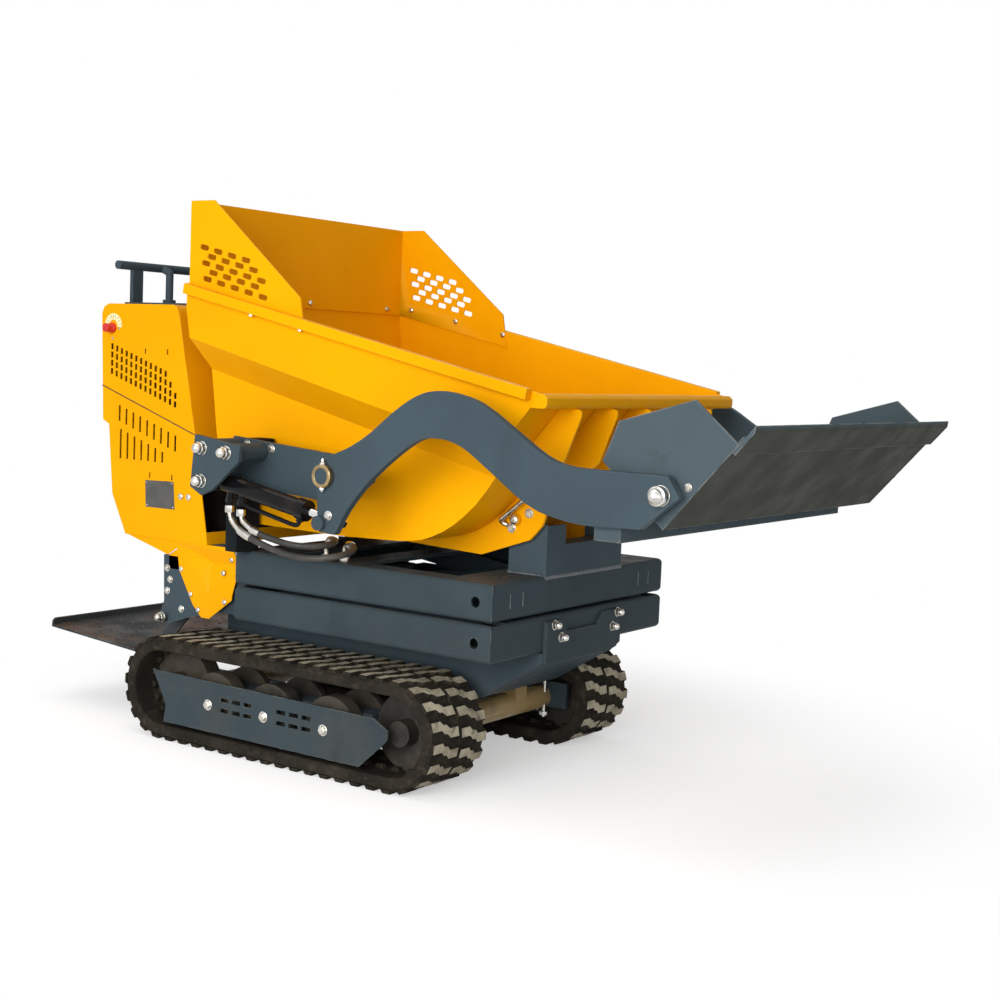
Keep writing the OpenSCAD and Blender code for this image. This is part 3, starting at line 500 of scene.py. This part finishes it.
def make_hose(name, node, points, side):
    route = smooth([at(x, side * abs(y), z) for x, y, z in points], HOSE_STEPS)
    # The hose itself runs between the ferrules; its steel ends are a piece of their own
    first = STEPS_BEFORE
    last = len(route) - STEPS_AFTER
    hose = route[first:last]
    curve = bpy.data.curves.new(name, "CURVE")
    curve.dimensions = "3D"
    curve.bevel_depth = HOSE_R
    curve.bevel_resolution = 6
    curve.use_fill_caps = True
    spline = curve.splines.new("POLY")
    spline.points.add(len(hose) - 1)
    for p, q in zip(spline.points, hose):
        p.co = (*q, 1)
    spline.use_smooth = True
    curve.materials.append(MAT["hose_rubber"])
    obj = bpy.data.objects.new(name, curve)
    scene.collection.objects.link(obj)
    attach(obj, "upper_frame")
    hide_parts(node)
    part = Shape()
    part.tube(route[3:first - 4], PIPE_R, 14)
    part.tube(route[last + 4:], PIPE_R, 14)
    n = len(FERRULE_R)
    part.tube(hose[:n], FERRULE_R, 18)
    part.tube(hose[-n:], FERRULE_R, 18)
    part.tube(route[first - 6:first + 1], COLLAR_R)
    part.tube(route[last - 1:last + 7], COLLAR_R)
    nut = capped((0.0098, 0), (0.0104, 0.001), (0.0104, 0.014), (0.0096, 0.016))
    part.lathe(route[0] - 0.013 * UP, UP, nut, 6)
    nut = capped((0.0098, 0), (0.0104, 0.001), (0.0104, 0.012), (0.0096, 0.0135))
    part.lathe(route[-1], UP, nut, 6)
    ends = part.piece(name + "_ends", "upper_frame", ["zinc_steel"])


for tag, sgn in (("right", -1), ("left", 1)):
    make_hose("hose_" + tag + "_outer", "hose_" + tag + "_a", HOSE_A, sgn)
    make_hose("hose_" + tag + "_inner", "hose_" + tag + "_b", HOSE_B, sgn)


# Rubber tracks: belt with rounded edges, zigzag lugs and inner guide teeth

WHEELBASE, AXLE_Z, TRACK_W, TRACK_Y = 720, 128, 200, 315
BELT_R, TIP_R, INNER_R = 121, 128, 92
BELT_STEPS, LUGS = 144, 48
LOOP = 2 * WHEELBASE + 2 * math.pi * BELT_R
# Middle line of a lug: distance from the belt's middle, and along the belt
LUG_IN, LUG_OUT, LUG_LIMIT, LUG_HALF = 5, 98, 99.9, 11
LUG_LINE = [(LUG_IN, -8), (36, -8), (47, 2), (56, 2), (66, 11), (LUG_OUT, 11)]
# Growth of a lug's outline at its foot, under its tip and at its tip
LUG_RINGS = ((3.5, BELT_R - 2), (0.5, TIP_R - 2), (-1.2, TIP_R))
TOOTH_Y, TOOTH_FOOT, TOOTH_TIP = 32, (13, 9, INNER_R + 1), (8, 5, INNER_R - 9)


def on_loop(arc, r):
    """Point (x, z) over the loop: arc runs along the belt's face, r is the height over the axle line."""
    arc %= LOOP
    half = WHEELBASE / 2
    turn = math.pi * BELT_R
    if arc < WHEELBASE:
        return arc - half, AXLE_Z + r
    if arc < WHEELBASE + turn:
        a = math.pi / 2 - (arc - WHEELBASE) / BELT_R
        return half + r * math.cos(a), AXLE_Z + r * math.sin(a)
    if arc < 2 * WHEELBASE + turn:
        return half - (arc - WHEELBASE - turn), AXLE_Z - r
    a = -math.pi / 2 - (arc - 2 * WHEELBASE - turn) / BELT_R
    return -half + r * math.cos(a), AXLE_Z + r * math.sin(a)


def belt_section():
    """Half of the belt's section, and its mirror: (distance from the middle, height)."""
    half = TRACK_W / 2
    rim = [(4, BELT_R), (half - 5, BELT_R), (half, BELT_R - 5), (half, INNER_R + 4), (half - 4, INNER_R)]
    groove = [(-2, BELT_R - 3), (2, BELT_R - 3)]
    return groove + rim + [(-y, r) for y, r in reversed(rim)]


def make_track(name, side):
    part = Shape()

    def spot(arc, y, r):
        x, z = on_loop(arc, r)
        return at(x, side * TRACK_Y + y, z)

    section = belt_section()
    k = len(section)
    verts = [spot(i * LOOP / BELT_STEPS, y, r) for i in range(BELT_STEPS) for y, r in section]
    faces = []
    for i in range(BELT_STEPS):
        a = i * k
        b = (i + 1) % BELT_STEPS * k
        faces += [[a + j, a + (j + 1) % k, b + (j + 1) % k, b + j] for j in range(k)]
    part.add(verts, faces)
    # Lugs: a zigzag bar on each half of the belt, half a pitch apart
    for row in SIDES:
        for i in range(LUGS):
            middle = (i + (0.25 if row < 0 else 0.75)) * LOOP / LUGS
            rings = []
            for grow, r in LUG_RINGS:
                ends = {LUG_IN: LUG_IN - grow / 2, LUG_OUT: min(LUG_OUT + grow / 2, LUG_LIMIT)}
                near = [(ends.get(y, y), a - LUG_HALF - grow) for y, a in LUG_LINE]
                far = [(ends.get(y, y), a + LUG_HALF + grow) for y, a in reversed(LUG_LINE)]
                rings.append([spot(middle + row * a, row * y, r) for y, a in near + far])
            m = len(rings[0])
            faces = []
            for q in range(len(rings) - 1):
                a = q * m
                faces += [[a + j, a + (j + 1) % m, a + m + (j + 1) % m, a + m + j] for j in range(m)]
            part.add([v for ring in rings for v in ring], faces)
            part.add(rings[-1], [[j, j + 1, m - 2 - j, m - 1 - j] for j in range(m // 2 - 1)], 1)
    # Guide teeth inside
    for i in range(LUGS):
        middle = (i + 0.5) * LOOP / LUGS
        for y in (-TOOTH_Y, TOOTH_Y):
            verts = []
            for long, wide, r in (TOOTH_FOOT, TOOTH_TIP):
                for a, b in ((-long, -wide), (long, -wide), (long, wide), (-long, wide)):
                    verts.append(spot(middle + a, y + b, r))
            walls = [[j, (j + 1) % 4, 4 + (j + 1) % 4, 4 + j] for j in range(4)]
            part.add(verts, walls + [[4, 5, 6, 7]])
    obj = part.piece(name + "_belt", "chassis", ["track_rubber", "lug_top"], 0, 32)
    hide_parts(name)


make_track("track_right", -1)
make_track("track_left", 1)


# Loader arms with flowing edges

ARM_HEEL, ARM_TOE = (250, 582), (1122, 729)
ARM_LOW = [(294, 580), (330, 640), (400, 716), (500, 790), (560, 803), (620, 790), (690, 748),
           (770, 696), (830, 672), (920, 659), (1043, 663)]
ARM_HIGH = [(1095, 768), (1010, 768), (935, 768), (874, 771), (820, 788), (740, 836), (690, 866),
            (640, 888), (568, 900), (510, 890), (450, 856), (380, 802), (330, 772), (285, 752),
            (254, 734), (242, 704), (242, 660), (244, 620)]
ARM_FACE, ARM_T = 540, 20


def make_arms():
    part = Shape()
    low, high = (smooth([Vector(p) for p in line], 5) for line in (ARM_LOW, ARM_HIGH))
    outline = [Vector(ARM_HEEL)] + low + [Vector(ARM_TOE)] + high
    for sgn in SIDES:
        face = [at(p.x, sgn * (ARM_FACE - ARM_T), p.y) for p in outline]
        part.slab(face, (0, sgn, 0), ARM_T / 1000)
    obj = part.piece("arm_slabs", "loader_arms", ["slate_paint"], 0.0022, 30)
    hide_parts("loader_arms")


make_arms()


# Rear skirts, pressed inward round the scissor's foot: points are (x, z, depth of the press)

SKIRT_Y, SKIRT_T, DENT, TAB_IN = 346, 3, 17, 10
SKIRT_RIM = [(-566, 486, 0), (-416, 448, 0), (-384, 468, 0), (-373, 412, 0), (-324, 332, 0),
             (-294, 304, 0), (-268, 304, 0), (-193, 358, 0), (-191, 372, 0), (-187, 400, 5),
             (-187, 444, DENT), (-187, 475, 0), (-187, 486, 0)]
SKIRT_DENT = [(-380, 481, 0), (-369, 457, 0), (-308, 418, 0), (-283, 391, 0), (-272, 365, 0),
              (-252, 368, 0), (-272, 442, DENT)]
# Tab behind the notch over the step's bracket
SKIRT_TAB = ((-420, 447), (-380, 470), (-366, 412), (-420, 412))


def make_skirts():
    n = len(SKIRT_RIM)
    ring = list(range(n, n + 6))
    corner, foot, deep = ring[0], ring[-1], n + 6
    sheet = [[0, 1, 2, corner, 11, 12], [2, 3, 4, 5, 6, 7, 8, *ring[::-1]],
             [corner, deep, 10, 11], [deep, foot, 8, 9, 10]]
    sheet += [[deep, a, b] for a, b in zip(ring, ring[1:])]
    part = Shape()
    for sgn in SIDES:
        points = SKIRT_RIM + SKIRT_DENT
        outer = [at(x, sgn * (SKIRT_Y - d), z) for x, z, d in points]
        inner = [at(x, sgn * (SKIRT_Y - SKIRT_T - d), z) for x, z, d in points]
        k = len(points)
        faces = sheet + [[i + k for i in face[::-1]] for face in sheet]
        faces += [[i, k + i, k + (i + 1) % n, (i + 1) % n] for i in range(n)]
        part.add(outer + inner, faces)
        part.slab([at(x, sgn * (SKIRT_Y - TAB_IN), z) for x, z in SKIRT_TAB], (0, sgn, 0), 0.002)
    obj = part.piece("pressed_skirts", "chassis", ["yellow_paint"], 0.0008, 12)
    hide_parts("rear_brackets")


make_skirts()


# Splash guard with round-cornered slots

GUARD_Y, GUARD_T, GUARD_TOP, GUARD_FOOT, GUARD_BACK = 400, 4, 1314, 1080, -302
GUARD_SIDE = [(GUARD_BACK, GUARD_TOP), (GUARD_BACK, GUARD_FOOT), (70, 1002), (54, 1088), (-226, GUARD_TOP)]
SLOT_L, SLOT_W, SLOT_R = 29, 13, 5.2
SLOT_TILT = math.radians(-11.68)
SLOT_ROWS = (4, 4, 5, 4, 5)


def slot(x, z, steps=4):
    """Outline of a slot with rounded corners, from its low corner, on the slope of the rim."""
    near, far, high = SLOT_R, SLOT_L - SLOT_R, SLOT_W - SLOT_R
    out = []
    for cx, cz, turn in ((far, near, -90), (far, high, 0), (near, high, 90), (near, near, 180)):
        for i in range(steps + 1):
            a = math.radians(turn + 90 * i / steps)
            out.append((cx + SLOT_R * math.cos(a), cz + SLOT_R * math.sin(a)))
    c = math.cos(SLOT_TILT)
    d = math.sin(SLOT_TILT)
    return [(x + u * c - v * d, z + u * d + v * c) for u, v in out]


def make_guard():
    loops = [GUARD_SIDE]
    for row, count in enumerate(SLOT_ROWS):
        odd = row % 2
        x = -270 + row * 3 + odd * 22
        z = GUARD_TOP - 114 - row * 18.7 - odd * 4
        loops += [slot(x + i * 45, z - i * 10) for i in range(count)]
    curve = bpy.data.curves.new("guard_side", "CURVE")
    curve.dimensions = "2D"
    curve.fill_mode = "BOTH"
    curve.extrude = GUARD_T / 2
    for loop in loops:
        line = curve.splines.new("POLY")
        line.points.add(len(loop) - 1)
        for p, (x, z) in zip(line.points, loop):
            p.co = (x, z, 0, 1)
        line.use_cyclic_u = True
    pattern = bpy.data.objects.new("guard_side", curve)
    mesh = bpy.data.meshes.new_from_object(pattern)
    faces = [list(p.vertices) for p in mesh.polygons]
    part = Shape()
    for sgn in SIDES:
        middle = sgn * (GUARD_Y + GUARD_T / 2)
        part.add([at(v.co.x, middle + v.co.z, v.co.y) for v in mesh.vertices], faces)
    bpy.data.meshes.remove(mesh)
    bpy.data.objects.remove(pattern)
    bpy.data.curves.remove(curve)
    back = [(-GUARD_Y, GUARD_FOOT), (GUARD_Y, GUARD_FOOT), (GUARD_Y, GUARD_TOP), (-GUARD_Y, GUARD_TOP)]
    part.slab([at(GUARD_BACK, y, z) for y, z in back], (1, 0, 0), GUARD_T / 1000)
    obj = part.piece("guard_panels", "skip", ["yellow_paint"], 0, 30)
    soften(obj, 0.0006, 1, weld=True)
    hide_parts("splash_guard")


make_guard()


# CAD nodes: finishes and softened edges

LOOK = {
    "slate_paint": ["track_frame_right", "track_frame_left", "belly", "step_brackets", "console", "handlebar",
                    "skip_post", "arm_plates", "cylinder_brackets", "scissor_inner", "scissor_outer"],
    # The arm towers take the painted shade
    "painted_shade_slate": ["arm_towers"],
    "frame_paint": ["lower_frame", "upper_frame", "front_plate", "tail_frame", "track_cover_right",
                    "track_cover_left"],
    "yellow_paint": ["housing_right", "housing_left", "housing_shell", "skip", "skip_rim", "skip_ribs",
                     "skip_hinges"],
    "scuffed_plate": ["bucket", "bucket_edge", "arm_beam"],
    "greasy_steel": ["cross_tube_front", "cross_tube_rear"],
    "roller_steel": ["running_gear_right", "running_gear_left"],
    "step_plate": ["step"],
    "engine_black": ["engine"],
    "red_plastic": ["throttle_knob"],
    "black_plastic": ["control_levers"],
    "zinc_steel": ["arm_pins"],
    "cylinder_black": ["loader_barrels"],
    "rod_chrome": ["loader_rods"],
}
for look, names in LOOK.items():
    for node in names:
        nodes[node].data.materials.clear()
        nodes[node].data.materials.append(MAT[look])


def patch(node, look, inside):
    """Gives the faces of a node in a box (mm) a second finish."""
    mesh = nodes[node].data
    mesh.materials.append(MAT[look])
    (x0, x1), (y0, y1), (z0, z1) = inside
    low = at(x0, y0, z0)
    high = at(x1, y1, z1)
    place = nodes[node].matrix_world
    for face in mesh.polygons:
        c = place @ face.center
        if all(low[i] <= c[i] <= high[i] for i in range(3)):
            face.material_index = len(mesh.materials) - 1


# The rod pins' bosses are painted with the arms; the stop bolt on the post is plated
patch("arm_pins", "slate_paint", ((200, 320), (-600, 600), (560, 640)))
patch("skip_post", "zinc_steel", ((556, 580), (86, 110), (558.5, 590)))

# Width of the rounded edge, and the steps it has
ROUND = {
    (0.0022, 2): ["arm_plates", "cylinder_brackets", "skip_post", "arm_towers", "belly", "front_plate",
                  "skip_rim", "bucket", "skip_hinges", "skip_ribs", "step_brackets", "arm_beam", "handlebar",
                  "console", "scissor_inner", "scissor_outer", "tail_frame"],
    (0.0012, 2): ["track_cover_right", "track_cover_left", "bucket_edge", "arm_pins", "loader_barrels",
                  "loader_rods", "track_frame_right", "track_frame_left", "running_gear_right",
                  "running_gear_left", "throttle_knob", "control_levers", "cross_tube_front",
                  "cross_tube_rear", "lower_frame", "upper_frame", "engine", "skip"],
    (0.0005, 1): ["housing_right", "housing_left", "housing_shell", "step"],
}
for (width, steps), names in ROUND.items():
    for node in names:
        soften(nodes[node], width, steps, weld=True)


# Fasteners and small fittings on the chassis

COVER_FACE, BRACKET_FACE, WALL_FACE, FRONT_FACE = 412, 338, 350, 604
PLATE_T, PLATE_CORNERS = 0.9, ((-498, 629), (-397, 632), (-391, 563), (-494, 562))
PLATE_RIVETS = ((-493, 624), (-402, 627), (-396, 568), (-489, 567))
DIAL_X, DIAL_Z, DIAL_T = -627, 1013, 0.0008
SEAM_ENDS, SEAM_HALF = ((-665, 861), (-327, 753)), 1.6


def make_chassis_fasteners():
    part = Shape()
    for sgn in SIDES:
        out = (0, sgn, 0)
        for x in (-196, -15, 170):
            hex_bolt(part, at(x, sgn * COVER_FACE, 111.5), out, 0.0095)
        for x, z, deep in ((-366, 417, 0), (-228, 421, 7), (-206, 456, 12), (-331, 358, 0), (-215, 352, 0),
                           (-304, 322, 0)):
            button(part, at(x, sgn * (SKIRT_Y - deep), z), out, 0.0068)
        for x, z in ((-424, 413), (-413, 385), (-422, 356), (-371, 315)):
            hex_bolt(part, at(x, sgn * BRACKET_FACE, z), out, 0.0065)
        dome_nut(part, at(-427, sgn * WALL_FACE, 290), out, 0.0105)
        for x, z in ((-369, 598), (-342, 598)):
            button(part, at(x, sgn * WALL_FACE, z), out, 0.0085)
    for y, z in ((-134, 379), (-104, 348), (140, 380), (120, 348)):
        dome_nut(part, at(FRONT_FACE, y, z), (1, 0, 0), 0.0095)
    # Tension bolts beside the front cross tube
    for sgn in SIDES:
        foot = at(352, sgn * 228, 70)
        part.lathe(foot, UP, capped((0.005, 0), (0.005, 0.12)), 14)
        nut = capped((0.0105, 0), (0.011, 0.001), (0.011, 0.009), (0.01, 0.01))
        for h in (0.004, 0.1):
            part.lathe(foot + h * UP, UP, nut, 6)
    part.piece("fasteners_chassis", "chassis", ["zinc_steel"], 0, 30)


def make_rating_plate():
    """Blank plate on the housing with its rivets, and the screws of the throttle dial."""
    out = (0, -1, 0)
    part = Shape()
    part.slab([at(x, -WALL_FACE, z) for x, z in PLATE_CORNERS], out, PLATE_T / 1000)
    part.piece("rating_plate", "chassis", ["plate_grey"], 0.0003)
    part = Shape()
    rivet = [(0.0022, 0), (0.002, 0.0007), (0.0012, 0.0011), (0, 0.0012)]
    for x, z in PLATE_RIVETS:
        part.lathe(at(x, -WALL_FACE - PLATE_T, z), out, rivet, 12)
    screw = [(0.0036, 0), (0.0034, 0.0014), (0.002, 0.002), (0, 0.0021)]
    for x, z in ((-607, 1006), (-629, 981)):
        part.lathe(at(x, -WALL_FACE, z), out, screw, 14)
    part.piece("plate_rivets", "chassis", ["zinc_steel"])


def make_dial():
    """Pale half-round dial over the throttle knob, with plain marks."""
    out = Vector((0, -1, 0))
    part = Shape()

    def arc(r, a):
        return at(DIAL_X + r * math.cos(a), -WALL_FACE, DIAL_Z + r * math.sin(a))

    angles = [math.radians(-8 + i * 196 / 24) for i in range(25)]
    part.slab([arc(31, a) for a in angles] + [arc(15, a) for a in reversed(angles)], out, DIAL_T)
    half = 0.024
    for i in range(9):
        a = math.radians(10 + i * 20)
        mark = [arc(20, a - half), arc(28, a - half * 0.75), arc(28, a + half * 0.75), arc(20, a + half)]
        part.slab([p + DIAL_T * out for p in mark], out, 0.0002, 1)
    part.piece("throttle_dial", "chassis", ["dial_pale", "plate_grey"])


def make_seam():
    """Painted shade in the lap seam between the housing's two covers."""
    (x0, z0), (x1, z1) = SEAM_ENDS
    part = Shape()
    for sgn in SIDES:
        line = ((x0, z0 + SEAM_HALF), (x1, z1 + SEAM_HALF), (x1, z1 - SEAM_HALF), (x0, z0 - SEAM_HALF))
        part.slab([at(x, sgn * WALL_FACE, z) for x, z in line], (0, sgn, 0), 0.0004)
    part.piece("housing_seam", "chassis", ["seam_shade"])


# Fasteners, rings and welds on the upper frame

PLATE_FACE, PIVOT_X, PIVOT_Z = 544, 264, 704
BRACKET_PINS = ((-103, 740), (-27, 734))
BARREL_FOOT, ROD_EYE = (-103, 665), (254, 602)


def make_upper_fasteners():
    part = Shape()
    for sgn in SIDES:
        out = (0, sgn, 0)
        for x, z in (*BRACKET_PINS, BARREL_FOOT):
            dome_nut(part, at(x, sgn * PLATE_FACE, z), out, 0.0138, 1.15)
        for x, z in BRACKET_PINS:
            hex_bolt(part, at(x + 30, sgn * 430, z + 8), out, 0.0075)
        # Grease nipple and screw on the arm's pivot
        for way, h in ((1, 0.012), (-1, 0.007)):
            nipple = capped((0.0065, 0), (0.0068, 0.001), (0.0068, 0.006), (0.0035, 0.0075), (0.0038, h),
                            (0.0028, h + 0.003))
            part.lathe(at(PIVOT_X, sgn * 549, PIVOT_Z + way * 23), way * UP, nipple, 12)
    part.piece("fasteners_upper_frame", "upper_frame", ["zinc_steel"], 0, 30)


def make_pivot_rings():
    """Worn end and collar of the arm's pivot, and the greasy sleeve behind the arm."""
    end = [(0.0175, 0), (0.0252, 0), (0.0252, 0.0008), (0.0242, 0.0016), (0.0185, 0.0016), (0.0175, 0.0006)]
    collar = [(0.0250, 0), (0.0256, 0.0005), (0.0256, 0.0120), (0.0250, 0.0125)]
    sleeve = [(0.0340, 0), (0.0344, 0.0005), (0.0344, 0.0850), (0.0340, 0.0855)]
    part = Shape()
    for sgn in SIDES:
        for y, ring, mat in ((554, end, 0), (541.5, collar, 0), (431, sleeve, 1)):
            part.lathe(at(PIVOT_X, sgn * y, PIVOT_Z), (0, sgn, 0), ring, 48, mat)
    part.piece("pivot_rings", "upper_frame", ["worn_ring", "greasy_steel"], 0, 30)


def make_welds():
    """Welds at the feet of the post, and plug welds on the frame's front."""
    part = Shape()

    def bead(start, end, r):
        a = at(*start)
        b = at(*end)
        n = max(2, int((b - a).length / 0.006))
        path = [a.lerp(b, i / n) for i in range(n)] + [b]
        part.tube(path, [r * (1 + 0.16 * math.sin(i * 1.9)) for i in range(n + 1)], 8)

    for sgn in SIDES:
        bead((493, sgn * 166, 491), (586, sgn * 166, 491), 0.0042)
        for y in (300, 251):
            bead((594, sgn * y, 432), (594, sgn * y, 464), 0.0013)
    bead((591, -163, 486.5), (591, 163, 486.5), 0.0058)
    part.piece("weld_beads", "upper_frame", ["weld"], 0, 60)


# Fasteners and pipes on the skip, arms, bucket and cylinders

HINGE_FACE, BUCKET_FACE, BARREL_Y = 181, 507, 485
RETAINER = ((556, 667), (530, 645), (498, 619), (489, 611))
RETAINER_HOOK = ((488, 192, 606), (492, 188, 602), (500, 186, 600))
# Along and below the barrel's middle line
PORTS = ((41, 34), (77, 31))
HARD_LINE = ((77, 33), (96, 36), (130, 38), (200, 40), (236, 41), (252, 38), (259, 24))


def make_skip_fasteners():
    """Hooked retainers of the hinge pins, guard bolts and rim clips."""
    part = Shape()
    for sgn in SIDES:
        out = (0, sgn, 0)
        button(part, at(521, sgn * 189, 613), out, 0.0115)
        for x, z in ((554, 630), (508, 593)):
            hex_bolt(part, at(x, sgn * HINGE_FACE, z), out, 0.008)
        rod = smooth([at(x, sgn * 196, z) for x, z in RETAINER], 4)
        part.tube(rod + [at(x, sgn * y, z) for x, y, z in RETAINER_HOOK], 0.0058)
        for x, z in ((-258, 1094), (-102, 1066), (57, 1034)):
            button(part, at(x, sgn * GUARD_Y, z), (0, -sgn, 0), 0.0075)
        for x, z in ((-83, 1048), (70, 1017)):
            hex_bolt(part, at(x, sgn * 419, z), -UP, 0.0055)
        for y in (23, 340):
            button(part, at(GUARD_BACK + GUARD_T, sgn * y, 1094), (1, 0, 0), 0.0075)
    part.piece("fasteners_skip", "skip", ["zinc_steel"], 0, 30)


def make_arm_fasteners():
    """Caps of the bucket's pins and bolts of the rods' pins, then the bucket's own bolts."""
    part = Shape()
    for sgn in SIDES:
        dome_nut(part, at(1084, sgn * ARM_FACE, 730), (0, sgn, 0), 0.0175, 1.15)
        hex_bolt(part, at(276, sgn * ARM_FACE, 620), (0, sgn, 0), 0.0075)
    part.piece("fasteners_arms", "loader_arms", ["zinc_steel"], 0, 30)
    part = Shape()
    for sgn in SIDES:
        hex_bolt(part, at(1122, sgn * BUCKET_FACE, 747), (0, sgn, 0), 0.0058)
    part.piece("fasteners_bucket", "bucket", ["zinc_steel"], 0, 30)


def make_barrel_lines():
    """Port adaptors and the hard line under each barrel."""
    foot = Vector(BARREL_FOOT)
    run = (Vector(ROD_EYE) - foot).normalized()
    down = Vector((run.y, -run.x))
    part = Shape()

    def on_barrel(along, below, y):
        p = foot + run * along + down * below
        return at(p.x, y, p.y)

    adaptor = capped((0.0105, -0.004), (0.0112, -0.003), (0.0112, 0.006), (0.0105, 0.007))
    nut = capped((0.009, 0), (0.0095, 0.001), (0.0095, 0.012))
    for sgn in SIDES:
        y = sgn * BARREL_Y
        below = on_barrel(0, 1, y) - on_barrel(0, 0, y)
        for u, v in PORTS:
            part.lathe(on_barrel(u, v, y), below, adaptor, 6)
        part.tube(smooth([on_barrel(u, v, y) for u, v in HARD_LINE], 5), 0.0052)
        part.lathe(on_barrel(258, 29, y), -below, nut, 6)
    part.piece("barrel_lines", "loader_barrels", ["cylinder_black"], 0.0004)


make_chassis_fasteners()
make_rating_plate()
make_dial()
make_seam()
make_upper_fasteners()
make_pivot_rings()
make_welds()
make_skip_fasteners()
make_arm_fasteners()
make_barrel_lines()


# Floor, backdrop and light

FLOOR_HALF, FLOOR_DROP = 60, 0.0005
FLOOR_GLOW, SHADOW_NEAR, SHADOW_FAR = 0.44, 0.9, 1.6
SKY_LIGHT, SKY_SEEN = 0.3, 1.0


def seen(tree):
    """1 for what the camera sees straight, in a reflection or through a clear piece."""
    path = tree.nodes.new("ShaderNodeLightPath")
    value = path.outputs["Is Camera Ray"]
    for ray in ("Is Glossy Ray", "Is Transmission Ray"):
        either = tree.nodes.new("ShaderNodeMath")
        either.operation = "MAXIMUM"
        tree.links.new(value, either.inputs[0])
        tree.links.new(path.outputs[ray], either.inputs[1])
        value = either.outputs[0]
    return value


def floor_white():
    """White away from the machine, with the shadow kept round it."""
    s = Shader("floor_white")
    s.tree.nodes.remove(s.bsdf)
    diffuse = s.new("BsdfDiffuse")
    diffuse.inputs["Color"].default_value = (0.8, 0.8, 0.8, 1)
    glow = s.new("Emission")
    s.put(glow.inputs["Strength"], s.math("MULTIPLY", seen(s.tree), FLOOR_GLOW))
    near = s.new("AddShader")
    s.put(near.inputs[0], diffuse.outputs[0])
    s.put(near.inputs[1], glow.outputs[0])
    reach = s.new("VectorMath", operation="LENGTH")
    s.put(reach.inputs[0], s.new("NewGeometry").outputs["Position"])
    fade = s.ramp(reach.outputs["Value"], SHADOW_NEAR, SHADOW_FAR)
    blend = s.new("MixShader")
    s.put(blend.inputs[0], s.math("MULTIPLY", seen(s.tree), fade))
    s.put(blend.inputs[1], near.outputs[0])
    s.put(blend.inputs[2], s.new("Emission").outputs[0])
    s.put(s.tree.nodes["Material Output"].inputs["Surface"], blend.outputs[0])
    return s.mat


def make_floor():
    r = FLOOR_HALF
    mesh = bpy.data.meshes.new("floor")
    mesh.from_pydata([(-r, -r, 0), (r, -r, 0), (r, r, 0), (-r, r, 0)], [], [(0, 1, 2, 3)])
    mesh.materials.append(floor_white())
    floor = bpy.data.objects.new("floor", mesh)
    scene.collection.objects.link(floor)
    floor.location.z = -FLOOR_DROP


def make_world():
    world = bpy.data.worlds.new("studio")
    scene.world = world
    world.use_nodes = True
    tree = world.node_tree
    sky = tree.nodes["Background"]
    sky.inputs["Color"].default_value = (1, 1, 1, 1)
    strength = tree.nodes.new("ShaderNodeMapRange")
    tree.links.new(seen(tree), strength.inputs["Value"])
    strength.inputs["To Min"].default_value = SKY_LIGHT
    strength.inputs["To Max"].default_value = SKY_SEEN
    tree.links.new(strength.outputs["Result"], sky.inputs["Strength"])


def make_lamp(name, place, aim, size, power):
    data = bpy.data.lights.new(name, "AREA")
    data.shape = "RECTANGLE"
    data.size, data.size_y = size
    data.energy = power
    lamp = bpy.data.objects.new(name, data)
    scene.collection.objects.link(lamp)
    lamp.location = place
    lamp.rotation_mode = "QUATERNION"
    lamp.rotation_quaternion = (Vector(aim) - Vector(place)).to_track_quat("-Z", "Y")


make_floor()
make_world()
make_lamp("key", (1.3, -5.4, 1.9), (0, 0, 0.6), (4.5, 3.0), 305)
make_lamp("top", (-0.6, -0.6, 5.0), (0, 0, 0.5), (4.5, 3.5), 70)
make_lamp("fill", (4.2, -1.6, 0.8), (0.3, 0, 0.5), (2.4, 1.4), 20)
